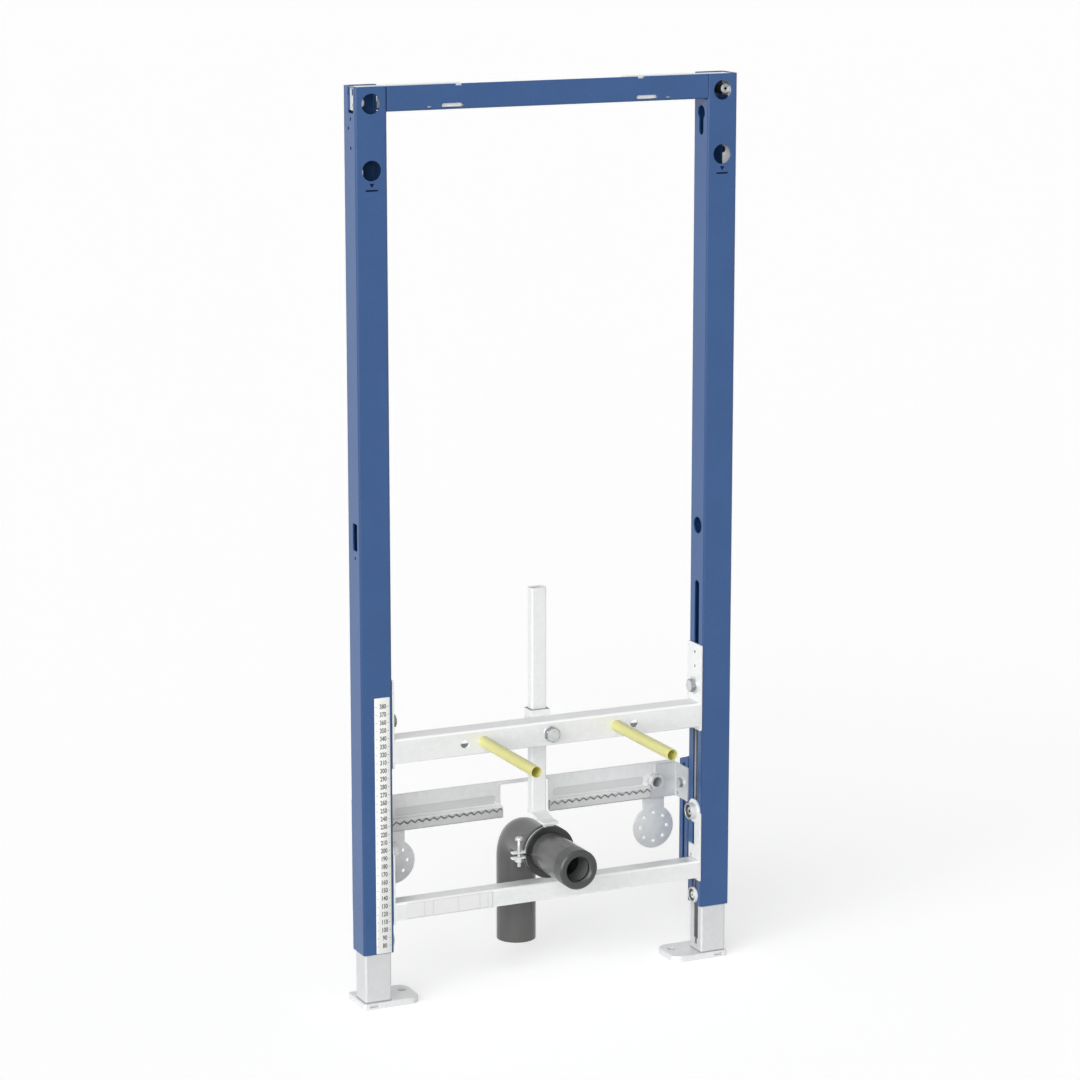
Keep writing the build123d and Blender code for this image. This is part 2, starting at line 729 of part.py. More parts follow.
for side, s in sides:
    with BuildPart() as lower_end_plate:
        with BuildSketch(Plane.YZ.offset(s * lower_inner)):
            plate_foot = lower_bottom - lower_plate_drop
            with Locations((face_y + lower_tab_depth / 2, plate_foot + lower_tab_height / 2)):
                Rectangle(lower_tab_depth, lower_tab_height)
            with Locations((face_y + lower_neck / 2, (plate_foot + lower_head_z) / 2)):
                Rectangle(lower_neck, lower_head_z - plate_foot)
            with Locations((slot_y, lower_head_z)):
                Circle(lower_head / 2)
                Circle(bolt_diameter / 2 + rail_gap, mode=Mode.SUBTRACT)
            with Locations((face_y + lower_depth + lower_wall, lower_z + lower_height / 2 + lower_wall)):
                Circle(pilot_hole / 2, mode=Mode.SUBTRACT)
        extrude(amount=s * end_plate_wall)
    lower_end_plate.part.label = f"{side}_lower_end_plate"
    export_step(lower_end_plate.part, f"parts/{side}_lower_end_plate.step")

    with BuildPart() as lower_knob:
        with BuildSketch(Plane.YZ.offset(s * lower_inner)):
            with Locations((slot_y, lower_head_z)):
                Circle(knob_diameter / 2)
        extrude(amount=-s * knob_height)
        with BuildSketch(Plane.YZ.offset(s * (lower_inner - knob_height))):
            with Locations((slot_y, lower_head_z)):
                RegularPolygon(knob_socket / 2, 6)
        extrude(amount=s * knob_height / 2, mode=Mode.SUBTRACT)
        with BuildSketch(Plane.YZ.offset(s * lower_inner)):
            with Locations((slot_y, lower_head_z)):
                Circle(bolt_diameter / 2)
        extrude(amount=s * (end_plate_wall + post_wall))
    lower_knob.part.label = f"{side}_lower_knob"
    export_step(lower_knob.part, f"parts/{side}_lower_knob.step")

    # Slotted rail on the back of the post, with a slanted top
    with BuildPart() as rear_rail:
        with BuildSketch(Plane.YZ.offset(s * post_inner)):
            with BuildLine():
                Polyline(
                    (rear_y, rear_bottom),
                    (rear_y, rear_top),
                    (rear_y + rear_depth, rear_top - rear_slant),
                    (rear_y + rear_depth, rear_bottom),
                    close=True,
                )
            make_face()
        extrude(amount=s * rear_width)
        with BuildSketch(Plane.XY.offset(rear_bottom)):
            with Locations((s * (post_inner + rear_width / 2), rear_y + rear_depth / 2)):
                Rectangle(rear_width - 2 * rear_wall, rear_depth - 2 * rear_wall)
        extrude(amount=rear_top - rear_bottom, mode=Mode.SUBTRACT)
        with BuildSketch(Plane.YZ.offset(s * post_inner)):
            with Locations((rear_y + rear_depth / 2, (rear_bottom + rear_top) / 2)):
                SlotOverall(rear_top - rear_bottom - 4 * rear_slot, rear_slot, rotation=90)
        extrude(amount=s * rear_wall, mode=Mode.SUBTRACT)
    rear_rail.part.label = f"{side}_rear_rail"
    export_step(rear_rail.part, f"parts/{side}_rear_rail.step")

# Tap rail: folded sheet with a pressed bead, and a boxed ledge with a row of teeth on each half
tap_end = post_inner - end_plate_wall
port_radius = tap_port / 2 + tap_port_wall
port_left = post_inner - tap_port_inset_left
port_right = post_inner - tap_port_inset_right
ledge_left = port_left - port_radius - tap_port_gap
ledge_right = port_right - port_radius - tap_port_gap
tap_halves = ((-ledge_left, -tap_gap_left), (tap_gap_right, ledge_right))
with BuildPart() as tap_rail:
    with BuildSketch(Plane.YZ):
        with BuildLine():
            FilletPolyline(
                (tap_y + tap_wall / 2, tap_top),
                (tap_y + tap_wall / 2, tap_ledge_z - tap_wall / 2),
                (tap_y + tap_wall / 2 - tap_ledge, tap_ledge_z - tap_wall / 2),
                (tap_y + tap_wall / 2 - tap_ledge, tap_bottom + tap_wall / 2),
                (tap_y + tap_wall / 2, tap_bottom + tap_wall / 2),
                (tap_y + tap_wall / 2, tap_ledge_z - tap_wall - tap_port_gap),
                radius=tap_wall,
            )
        trace(line_width=tap_wall)
    extrude(amount=tap_end, both=True)
    with BuildSketch(Plane.XZ.offset(-tap_y - 2 * tap_wall)):
        tap_cut_top = tap_top - tap_tie
        with Locations(((tap_gap_right - tap_gap_left) / 2, (tap_bottom + tap_cut_top) / 2)):
            Rectangle(tap_gap_left + tap_gap_right, tap_cut_top - tap_bottom)
    extrude(amount=tap_ledge + 4 * tap_wall, mode=Mode.SUBTRACT)
    # Beyond the toothed halves only the flat web runs on behind the end brackets
    with BuildSketch(Plane.XZ.offset(-tap_y - 2 * tap_wall)):
        for s, ledge_end in ((-1, ledge_left), (1, ledge_right)):
            with Locations((s * (ledge_end + tap_end) / 2, (tap_bottom + tap_ledge_z) / 2)):
                Rectangle(tap_end - ledge_end, tap_ledge_z - tap_bottom + 2 * tap_wall)
    extrude(amount=tap_ledge + 4 * tap_wall, mode=Mode.SUBTRACT)
    with BuildSketch(Plane.XZ.offset(-tap_y)):
        with Locations((-port_left, tap_bracket_z), (port_right, tap_bracket_z)):
            Circle(port_radius + tap_port_gap)
    extrude(amount=-tap_wall, mode=Mode.SUBTRACT)
    # Bead pressed backwards, just above the ledge
    bead_z = tap_ledge_z + tap_bead_rise + tap_bead_height / 2
    with BuildSketch(Plane.XZ.offset(-tap_y)):
        for start, end in tap_halves:
            with Locations(((start + end) / 2, bead_z)):
                RectangleRounded(end - start - 2 * tap_bead_margin, tap_bead_height, tap_bead_corner)
    extrude(amount=-tap_wall / 2, mode=Mode.SUBTRACT)
    with BuildSketch(Plane.XZ.offset(-tap_y - tap_wall)):
        for start, end in tap_halves:
            with Locations(((start + end) / 2, bead_z)):
                RectangleRounded(end - start - 2 * tap_bead_margin, tap_bead_height, tap_bead_corner)
    extrude(amount=-tap_wall / 2)
    # Zigzag slit through the front of the ledge, one tooth to each step
    with BuildSketch(Plane.XZ.offset(-tap_y + tap_ledge)):
        for start, end in tap_halves:
            steps = 2 * int((end - start - 2 * tap_tooth_margin) / tap_tooth)
            first = (start + end - steps * tap_tooth / 2) / 2
            upper = []
            lower = []
            for i in range(steps + 1):
                tooth_x = first + i * tap_tooth / 2
                tooth_z = tap_tooth_z + (i % 2 - 0.5) * tap_tooth_height
                upper.append((tooth_x, tooth_z + tap_tooth_slit / 2))
                lower.append((tooth_x, tooth_z - tap_tooth_slit / 2))
            with BuildLine():
                Polyline(*upper, *reversed(lower), close=True)
            make_face()
    extrude(amount=-tap_wall, mode=Mode.SUBTRACT)
tap_rail.part.label = "tap_rail"
export_step(tap_rail.part, "parts/tap_rail.step")

for side, s in sides:
    # Angle bracket from the rear rail to the tap rail, with a blind port
    port_x = port_right if s > 0 else port_left
    with BuildPart() as tap_bracket:
        with BuildSketch(Plane.YZ.offset(s * post_inner)):
            bracket_front = face_y + post_depth - end_plate_wall
            with Locations(((bracket_front + tap_y) / 2, tap_bracket_z)):
                Rectangle(tap_y - bracket_front, tap_bracket_height)
            with Locations((rear_y + rear_depth / 2, tap_bracket_z)):
                Circle(bolt_diameter / 2, mode=Mode.SUBTRACT)
            with Locations(
                (tap_y - 2 * pilot_hole, tap_bracket_z - tap_bracket_height / 2 + pilot_hole)
            ):
                Circle(pilot_hole / 2, mode=Mode.SUBTRACT)
        extrude(amount=-s * end_plate_wall)
        with BuildSketch(Plane.XZ.offset(-tap_y)):
            with Locations((s * (tap_end + port_x) / 2, tap_bracket_z)):
                Rectangle(tap_end - port_x, tap_bracket_height)
            with Locations((s * (port_x - port_radius / 2), tap_bracket_z - tap_bracket_height / 4)):
                Rectangle(port_radius, tap_bracket_height / 2)
            with Locations((s * port_x, tap_bracket_z)):
                Circle(port_radius)
        extrude(amount=tap_wall)
        with BuildSketch(Plane.XZ.offset(-tap_y + tap_wall + tap_port_reach)):
            with Locations((s * port_x, tap_bracket_z)):
                Circle(port_radius)
        extrude(amount=-tap_port_length)
        with BuildSketch(Plane.XZ.offset(-tap_y + tap_wall + tap_port_reach)):
            with Locations((s * port_x, tap_bracket_z)):
                Circle(tap_port / 2)
        extrude(amount=tap_wall - tap_port_length, mode=Mode.SUBTRACT)
    tap_bracket.part.label = f"{side}_tap_bracket"
    export_step(tap_bracket.part, f"parts/{side}_tap_bracket.step")

    # Tap disc with a ring of holes, hung behind the tap rail by its tab
    with BuildPart() as tap_disc:
        with BuildSketch(Plane.XZ.offset(-tap_y - 1.5 * tap_wall)):
            with Locations((s * disc_x, disc_z)):
                Circle(disc_diameter / 2)
            tab_top = tap_bracket_z + port_radius + disc_tab_lap
            with Locations((s * disc_x, (disc_z + tab_top) / 2)):
                Rectangle(disc_tab, tab_top - disc_z)
            with Locations((s * disc_x, disc_z)):
                with PolarLocations(disc_ring_diameter / 2, disc_holes):
                    Circle(disc_hole / 2, mode=Mode.SUBTRACT)
            with Locations((s * port_x, tap_bracket_z)):
                Circle(port_radius + tap_port_gap, mode=Mode.SUBTRACT)
        extrude(amount=-disc_wall)
    tap_disc.part.label = f"{side}_tap_disc"
    export_step(tap_disc.part, f"parts/{side}_tap_disc.step")
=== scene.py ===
import bpy
import json
import math
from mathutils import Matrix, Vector


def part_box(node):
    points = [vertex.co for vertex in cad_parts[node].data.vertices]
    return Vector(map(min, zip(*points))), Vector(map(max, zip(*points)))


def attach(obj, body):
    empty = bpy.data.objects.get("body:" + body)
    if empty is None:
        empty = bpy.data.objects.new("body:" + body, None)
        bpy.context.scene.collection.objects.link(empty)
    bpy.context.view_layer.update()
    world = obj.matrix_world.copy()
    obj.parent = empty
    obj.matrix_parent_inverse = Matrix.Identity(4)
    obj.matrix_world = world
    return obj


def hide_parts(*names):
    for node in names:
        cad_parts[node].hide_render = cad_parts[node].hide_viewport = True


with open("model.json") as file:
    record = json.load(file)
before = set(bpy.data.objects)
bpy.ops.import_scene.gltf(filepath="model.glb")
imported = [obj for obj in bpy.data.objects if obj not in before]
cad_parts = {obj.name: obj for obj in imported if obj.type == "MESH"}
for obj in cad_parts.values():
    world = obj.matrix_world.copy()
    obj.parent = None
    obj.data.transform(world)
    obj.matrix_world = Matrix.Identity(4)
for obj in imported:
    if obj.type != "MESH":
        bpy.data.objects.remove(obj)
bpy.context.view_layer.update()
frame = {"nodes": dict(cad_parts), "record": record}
mm = 0.001                      # sizes below are in millimetres
near = 0.01                     # how close a place has to be to be picked, in millimetres
slack = 0.05                    # the same for faces down in a recess
facing = 0.9                    # how far along an axis a picked face has to point
smoothAngle = 35                # edges that turn by more degrees stay sharp
white = (1, 1, 1, 1)
print("frame loaded,", len(frame["nodes"]), "nodes")


def colour(hexCode):            # a written sRGB colour as Blender's linear one
    parts = [int(hexCode[i:i + 2], 16) / 255 for i in (0, 2, 4)]
    return [p / 12.92 if p <= 0.04045 else ((p + 0.055) / 1.055) ** 2.4 for p in parts] + [1]


# helpers for nodes

def addNode(tree, kind, values=None, **settings):
    node = tree.nodes.new(kind)
    for key, value in settings.items():
        setattr(node, key, value)
    for key, value in (values or {}).items():
        node.inputs[key].default_value = value
    return node


def feed(tree, socket, source):     # a link from another socket, or a plain value
    if isinstance(source, bpy.types.NodeSocket):
        tree.links.new(source, socket)
    else:
        socket.default_value = source


def maths(tree, operation, *sources, clamp=False):
    node = addNode(tree, "ShaderNodeMath", operation=operation, use_clamp=clamp)
    for place, source in enumerate(sources):
        feed(tree, node.inputs[place], source)
    return node.outputs[0]


def ranged(tree, source, low, high, fromLow=0, fromHigh=1):
    spread = addNode(tree, "ShaderNodeMapRange", {1: fromLow, 2: fromHigh, 3: low, 4: high})
    tree.links.new(source, spread.inputs[0])
    return spread.outputs[0]


def mixed(tree, factor, first, second):     # two colours or sockets, mixed by a mask
    mix = addNode(tree, "ShaderNodeMix", data_type="RGBA")
    for place, source in ((0, factor), (6, first), (7, second)):
        feed(tree, mix.inputs[place], source)
    return mix.outputs[2]


def alongAxes(tree, source):    # the x, y and z of a vector
    split = addNode(tree, "ShaderNodeSeparateXYZ")
    tree.links.new(source, split.inputs[0])
    return split.outputs


def objectPlace(tree):
    return addNode(tree, "ShaderNodeTexCoord").outputs["Object"]


# camera, light and floor

studio = {
    "cameraPlace": (-1.8167, -3.8332, 1.4642),
    "cameraTarget": (-0.01436, 0.0125, 0.56553),
    "lens": 119.41,
    "sensor": 36,
    "clipEnd": 300,
    "skyLow": 0.62,             # what the white room gives the object, from its walls
    "skyHigh": 0.12,            # and from its ceiling
    "lampPlace": (-2, -3, 2),
    "sunEnergy": 2.6,
    "sunAngle": 55,
    "sunTurn": -46,             # degrees to the left of the front
    "sunHeight": 18,
    "sideEnergy": 0.72,         # a second, weaker sun for the left sides
    "sideAngle": 30,
    "sideTurn": -76,
    "sideHeight": 12,
    "floorSize": 80,
    "floorDrop": 0.0002,        # keeps the floor just under the foot plates
    "floorColour": "E9E9E9",
    "floorGlow": 0.5,           # lifts the open floor to white for the camera
}


def clearSelection():
    if bpy.context.object and bpy.context.object.mode != "OBJECT":
        bpy.ops.object.mode_set(mode="OBJECT")
    bpy.ops.object.select_all(action="DESELECT")


def backdropRays(tree):         # 1 where the camera, a reflection or a clear piece looks
    path = addNode(tree, "ShaderNodeLightPath").outputs
    seen = maths(tree, "MAXIMUM", path["Is Camera Ray"], path["Is Glossy Ray"])
    return maths(tree, "MAXIMUM", seen, path["Is Transmission Ray"])


def softSun(name, energy, angle, turn, height):     # turn from the front, height above the floor
    bpy.ops.object.light_add(type="SUN", location=studio["lampPlace"])
    lamp = bpy.context.object
    lamp.name = name
    turn, height = math.radians(turn), math.radians(height)
    comesFrom = Vector((math.sin(turn), -math.cos(turn), math.tan(height)))
    lamp.rotation_euler = (-comesFrom).to_track_quat("-Z", "Y").to_euler()
    lamp.data.energy = energy
    lamp.data.angle = math.radians(angle)


clearSelection()
bpy.ops.object.camera_add(location=studio["cameraPlace"])
camera = bpy.context.object
camera.name = "photoCamera"
sight = Vector(studio["cameraTarget"]) - Vector(studio["cameraPlace"])
camera.rotation_euler = sight.to_track_quat("-Z", "Y").to_euler()
camera.data.lens = studio["lens"]
camera.data.sensor_width = studio["sensor"]
camera.data.clip_end = studio["clipEnd"]
bpy.context.scene.camera = camera

lampWords = ("Energy", "Angle", "Turn", "Height")
for lampName in ("sun", "side"):
    softSun(lampName + "Lamp", *[studio[lampName + word] for word in lampWords])

room = bpy.data.worlds.new("whiteRoom")
bpy.context.scene.world = room
room.use_nodes = True
roomTree = room.node_tree
roomTree.nodes.clear()
roomWay = addNode(roomTree, "ShaderNodeTexCoord").outputs["Generated"]
roomLevel = ranged(roomTree, alongAxes(roomTree, roomWay)["Z"], studio["skyLow"], studio["skyHigh"])
roomLit = addNode(roomTree, "ShaderNodeBackground", {"Color": white})
roomSeen = addNode(roomTree, "ShaderNodeBackground", {"Color": white, "Strength": 1})
roomMix = addNode(roomTree, "ShaderNodeMixShader")
roomOut = addNode(roomTree, "ShaderNodeOutputWorld")
roomTree.links.new(roomLevel, roomLit.inputs["Strength"])
roomTree.links.new(backdropRays(roomTree), roomMix.inputs[0])
roomTree.links.new(roomLit.outputs[0], roomMix.inputs[1])
roomTree.links.new(roomSeen.outputs[0], roomMix.inputs[2])
roomTree.links.new(roomMix.outputs[0], roomOut.inputs["Surface"])

clearSelection()
bpy.ops.mesh.primitive_plane_add(size=studio["floorSize"], location=(0, 0, -studio["floorDrop"]))
floor = bpy.context.object
floor.name = "paleFloor"
floorLook = bpy.data.materials.new("paleFloorLook")
floorLook.use_nodes = True
floorTree = floorLook.node_tree
floorTree.nodes.clear()
floorMatt = addNode(floorTree, "ShaderNodeBsdfDiffuse", {"Color": colour(studio["floorColour"])})
floorGlow = addNode(floorTree, "ShaderNodeEmission", {"Color": white})
floorSum = addNode(floorTree, "ShaderNodeAddShader")
floorOut = addNode(floorTree, "ShaderNodeOutputMaterial")
glowLevel = maths(floorTree, "MULTIPLY", backdropRays(floorTree), studio["floorGlow"])
floorTree.links.new(glowLevel, floorGlow.inputs["Strength"])
floorTree.links.new(floorMatt.outputs[0], floorSum.inputs[0])
floorTree.links.new(floorGlow.outputs[0], floorSum.inputs[1])
floorTree.links.new(floorSum.outputs[0], floorOut.inputs["Surface"])
floor.data.materials.append(floorLook)
bpy.context.scene.view_settings.view_transform = "Standard"
print("studio ready")


# shared surface effects, as node groups

def startGroup(name, inputs, outputs):
    group = bpy.data.node_groups.new(name, "ShaderNodeTree")
    for label, value in inputs.items():
        socket = group.interface.new_socket(name=label, in_out="INPUT", socket_type="NodeSocketFloat")
        socket.default_value = value
    for label, kind in outputs.items():
        group.interface.new_socket(name=label, in_out="OUTPUT", socket_type=kind)
    return group, addNode(group, "NodeGroupInput"), addNode(group, "NodeGroupOutput")


# fine grain and slow clouds of any coated or moulded skin
grainGroup, grainIn, grainOut = startGroup(
    "skinGrain", {"Grain Scale": 900, "Cloud Scale": 14},
    {"Grain": "NodeSocketFloat", "Clouds": "NodeSocketFloat"})
grainPlace = objectPlace(grainGroup)
grainFine = addNode(grainGroup, "ShaderNodeTexNoise", {"Detail": 3, "Roughness": 0.55})
grainSlow = addNode(grainGroup, "ShaderNodeTexNoise", {"Detail": 4, "Roughness": 0.6})
for noise, scaleName, outName in (
        (grainFine, "Grain Scale", "Grain"), (grainSlow, "Cloud Scale", "Clouds")):
    grainGroup.links.new(grainPlace, noise.inputs["Vector"])
    grainGroup.links.new(grainIn.outputs[scaleName], noise.inputs["Scale"])
    grainGroup.links.new(noise.outputs[0], grainOut.inputs[outName])

# crystals of hot-dip zinc: one tone for each cell, with soft borders
zincGroup, zincIn, zincOut = startGroup(
    "zincSpangle", {"Cells": 120, "Wobble": 0.004},
    {"Tone": "NodeSocketFloat", "Gloss": "NodeSocketFloat", "Height": "NodeSocketFloat"})
zincPlace = objectPlace(zincGroup)
zincWave = addNode(zincGroup, "ShaderNodeTexNoise", {"Scale": 160, "Detail": 2})
zincShift = addNode(zincGroup, "ShaderNodeVectorMath", operation="SCALE")
zincMoved = addNode(zincGroup, "ShaderNodeVectorMath", operation="ADD")
zincCells = addNode(zincGroup, "ShaderNodeTexVoronoi", feature="SMOOTH_F1")
zincCells.inputs["Smoothness"].default_value = 0.25
zincSplit = addNode(zincGroup, "ShaderNodeSeparateColor")
zincFine = addNode(zincGroup, "ShaderNodeTexNoise", {"Scale": 700, "Detail": 3})
zincGroup.links.new(zincPlace, zincWave.inputs["Vector"])
zincGroup.links.new(zincWave.outputs["Color"], zincShift.inputs[0])
zincGroup.links.new(zincIn.outputs["Wobble"], zincShift.inputs["Scale"])
zincGroup.links.new(zincPlace, zincMoved.inputs[0])
zincGroup.links.new(zincShift.outputs[0], zincMoved.inputs[1])
zincGroup.links.new(zincMoved.outputs[0], zincCells.inputs["Vector"])
zincGroup.links.new(zincIn.outputs["Cells"], zincCells.inputs["Scale"])
zincGroup.links.new(zincCells.outputs["Color"], zincSplit.inputs[0])
zincGroup.links.new(zincPlace, zincFine.inputs["Vector"])
zincGroup.links.new(zincSplit.outputs[0], zincOut.inputs["Tone"])
zincGroup.links.new(zincSplit.outputs[1], zincOut.inputs["Gloss"])
zincGroup.links.new(zincFine.outputs[0], zincOut.inputs["Height"])

# edges: a mask along them, which paints the edges paler, partly as worn edges and partly as a painted
# highlight, and a softly rounded normal
edgeGroup, edgeIn, edgeOut = startGroup(
    "roundedEdgeSheen", {"Radius": 0.0008, "Gain": 2.5},
    {"Mask": "NodeSocketFloat", "Normal": "NodeSocketVector"})
edgeBevel = addNode(edgeGroup, "ShaderNodeBevel", samples=4)
edgeFlat = addNode(edgeGroup, "ShaderNodeNewGeometry")
edgeDot = addNode(edgeGroup, "ShaderNodeVectorMath", operation="DOT_PRODUCT")
edgeGroup.links.new(edgeIn.outputs["Radius"], edgeBevel.inputs["Radius"])
edgeGroup.links.new(edgeBevel.outputs[0], edgeDot.inputs[0])
edgeGroup.links.new(edgeFlat.outputs["True Normal"], edgeDot.inputs[1])
edgeTurn = maths(edgeGroup, "SUBTRACT", 1, edgeDot.outputs["Value"])
edgeSheenMask = maths(edgeGroup, "MULTIPLY", edgeTurn, edgeIn.outputs["Gain"], clamp=True)
edgeGroup.links.new(edgeSheenMask, edgeOut.inputs["Mask"])
edgeGroup.links.new(edgeBevel.outputs[0], edgeOut.inputs["Normal"])


# finishes

def partsOf(look):              # a finish's node tree and its shader
    return look.node_tree, look.node_tree.nodes["Principled BSDF"]


def startLook(name):
    look = bpy.data.materials.new(name)
    look.use_nodes = True
    return look, *partsOf(look)


def useGroup(tree, group, **values):
    node = addNode(tree, "ShaderNodeGroup", node_tree=group)
    for key, value in values.items():
        node.inputs[key].default_value = value
    return node


def relief(tree, shader, height, depth, normal=None):
    bump = addNode(tree, "ShaderNodeBump", {"Strength": 0.5, "Distance": depth * mm})
    tree.links.new(height, bump.inputs["Height"])
    if normal:
        tree.links.new(normal, bump.inputs["Normal"])
    tree.links.new(bump.outputs[0], shader.inputs["Normal"])


cloudSpan, grainSpan = (0.35, 0.65), (0.3, 0.7)     # where the noise has most of its values


# a skin with grain, clouds of tone and lighter edges, partly wear and partly a painted highlight:
# paint, plastics, rubber and ink
def skinLook(name, deep, light, rough, grain, depth, edge=None):
    look, tree, shader = startLook(name)
    skin = useGroup(tree, grainGroup)
    skin.inputs["Grain Scale"].default_value = grain
    clouds = ranged(tree, skin.outputs["Clouds"], 0, 1, *cloudSpan)
    tone = mixed(tree, clouds, colour(deep), colour(light))
    normal = None
    if edge:
        rim = useGroup(tree, edgeGroup)
        tone = mixed(tree, rim.outputs["Mask"], tone, colour(edge))
        normal = rim.outputs["Normal"]
    tree.links.new(tone, shader.inputs["Base Color"])
    gloss = ranged(tree, skin.outputs["Grain"], *rough, *grainSpan)
    tree.links.new(gloss, shader.inputs["Roughness"])
    relief(tree, shader, skin.outputs["Grain"], depth, normal)
    return look


# zinc with its crystals and bright edges, partly bare cut edges and partly a painted highlight
def zincLook(name, dark, pale, edge, metal, rough, cells=190, radius=0.8, depth=0.03):
    look, tree, shader = startLook(name)
    zinc = useGroup(tree, zincGroup, Cells=cells)
    rim = useGroup(tree, edgeGroup, Radius=radius * mm)
    tone = mixed(tree, zinc.outputs["Tone"], colour(dark), colour(pale))
    tone = mixed(tree, rim.outputs["Mask"], tone, colour(edge))
    tree.links.new(tone, shader.inputs["Base Color"])
    gloss = ranged(tree, zinc.outputs["Gloss"], *rough)
    tree.links.new(gloss, shader.inputs["Roughness"])
    shader.inputs["Metallic"].default_value = metal
    relief(tree, shader, zinc.outputs["Height"], depth, rim.outputs["Normal"])
    return look


def placeOf(tree):              # x, y and z on the piece, in metres
    return alongAxes(tree, objectPlace(tree))


def inkOver(look, mask, dark):  # another tone over the colour so far; below it mostly paints light and shade
    tree, shader = partsOf(look)
    skin = shader.inputs["Base Color"].links[0].from_socket
    tree.links.new(mixed(tree, mask, skin, colour(dark)), shader.inputs["Base Color"])


def cornerMask(tree, across, up, gain):     # 1 on corners that turn from one way to the other
    normal = addNode(tree, "ShaderNodeNewGeometry").outputs["True Normal"]
    ways = alongAxes(tree, normal)
    both = maths(tree, "ABSOLUTE", maths(tree, "MULTIPLY", ways[across], ways[up]))
    return maths(tree, "MULTIPLY", both, gain, clamp=True)


def sameSpot(tree, source, level, within=0.3):  # 1 where a coordinate is at a level
    return maths(tree, "COMPARE", source, level * mm, within * mm)


blueCoat = skinLook("blueCoat", deep="214D83", light="255187", edge="466B9F",
                    rough=(0.26, 0.34), grain=1300, depth=0.05)
partsOf(blueCoat)[1].inputs["IOR"].default_value = 1.58
whitePlastic = skinLook("whitePlastic", deep="ECEDEA", light="F0F1EE", edge="F6F6F4",
                        rough=(0.3, 0.42), grain=1600, depth=0.02)
stripWhite = skinLook("stripWhite", deep="F3F4F1", light="F6F7F4", edge="F9F9F7",
                      rough=(0.4, 0.5), grain=1800, depth=0.01)
pipeGrey = skinLook("pipeGrey", deep="535352", light="5B5B5A", edge="6A6A68",
                    rough=(0.15, 0.22), grain=700, depth=0.015)
softRubber = skinLook("softRubber", deep="262829", light="2D2F30", edge="3C3E3F",
                      rough=(0.26, 0.34), grain=1100, depth=0.03)
collarRubber = skinLook("collarRubber", deep="3D3F3E", light="444645", edge="515352",
                        rough=(0.26, 0.34), grain=900, depth=0.02)
deepShade = skinLook("deepShade", deep="242525", light="2A2B2B", edge="3A3B3B",
                     rough=(0.5, 0.6), grain=1100, depth=0.03)
cupShade = skinLook("cupShade", deep="5C5D5E", light="646566", edge="7A7B7C",
                    rough=(0.5, 0.6), grain=1100, depth=0.03)
labelGrey = skinLook("labelGrey", deep="DEDFDF", light="E2E3E3", edge="EDEDED",
                     rough=(0.4, 0.5), grain=1800, depth=0.01)
labelPanel = skinLook("labelPanel", deep="E8E8E8", light="ECECEC", edge="F2F2F2",
                      rough=(0.35, 0.45), grain=1800, depth=0.01)
inkGrey = skinLook("inkGrey", deep="545453", light="5C5C5B",
                   rough=(0.5, 0.6), grain=2000, depth=0.005)
inkNavy = skinLook("inkNavy", deep="0A1430", light="0E1A3A",
                   rough=(0.7, 0.8), grain=2000, depth=0.005)
partsOf(inkNavy)[1].inputs["Specular IOR Level"].default_value = 0.08
yellowTube = skinLook("yellowTube", deep="D8D386", light="DDD990", edge="EAE7AE",
                      rough=(0.3, 0.4), grain=1500, depth=0.02)
yellowShader = partsOf(yellowTube)[1]
yellowShader.inputs["Subsurface Weight"].default_value = 0.5
yellowShader.inputs["Subsurface Radius"].default_value = (1, 0.95, 0.5)
yellowShader.inputs["Subsurface Scale"].default_value = 3 * mm

sheetGloss, barGloss = (0.36, 0.43), (0.34, 0.41)
zincSheet = zincLook("zincSheet", dark="D0D2D3", pale="D6D7D8", edge="F2F2F2",
                     metal=0.45, rough=sheetGloss)
zincFoot = zincLook("zincFoot", dark="D0D2D3", pale="D6D7D8", edge="F2F2F2",
                    metal=0.45, rough=sheetGloss)
zincPale = zincLook("zincPale", dark="DEDFE0", pale="E4E5E6", edge="F4F4F4",
                    metal=0.4, rough=sheetGloss)
zincTap = zincLook("zincTap", dark="E2E3E4", pale="E8E9E9", edge="F6F6F6",
                   metal=0.35, rough=sheetGloss)
zincBright = zincLook("zincBright", dark="E8EAEA", pale="EDEEEE", edge="FAFAFA",
                      metal=0.3, rough=barGloss)
zincSleeve = zincLook("zincSleeve", dark="E8EAEA", pale="EDEEEE", edge="FAFAFA",
                      metal=0.3, rough=barGloss)
zincRail = zincLook("zincRail", dark="E8EAEA", pale="EDEEEE", edge="FFFFFF",
                    metal=0.3, rough=barGloss, radius=1.8)
zincBolt = zincLook("zincBolt", dark="CBCDCE", pale="D1D3D4", edge="F2F3F3",
                    metal=0.55, rough=(0.28, 0.32), cells=300)
# a darker zinc: painted shade on the flats of bolt heads
zincFlatShade = zincLook("zincFlatShade", dark="85878A", pale="8F9194", edge="C9CBCC",
                    metal=0.6, rough=(0.28, 0.34), cells=300)

# bent corners: painted shade on the coated posts' bends, and a painted highlight along the rounded
# bends of the zinc rails
corners = {"coatGain": 1.9, "coatShadeTone": "1C4172", "railGain": 2.2, "railHighlightTone": "FFFFFF"}
coatCornerShade = cornerMask(blueCoat.node_tree, "X", "Y", corners["coatGain"])
railCornerHighlight = cornerMask(zincRail.node_tree, "Y", "Z", corners["railGain"])
inkOver(blueCoat, coatCornerShade, corners["coatShadeTone"])
inkOver(zincRail, railCornerHighlight, corners["railHighlightTone"])

# painted shade along the sleeve's upper end, where it opens round the arm
sleeve = {"top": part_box("arm_sleeve")[1][2] / mm, "openingShadeTone": "66686A"}
sleeveTree = zincSleeve.node_tree
inkOver(zincSleeve, sameSpot(sleeveTree, placeOf(sleeveTree)[2], sleeve["top"]), sleeve["openingShadeTone"])
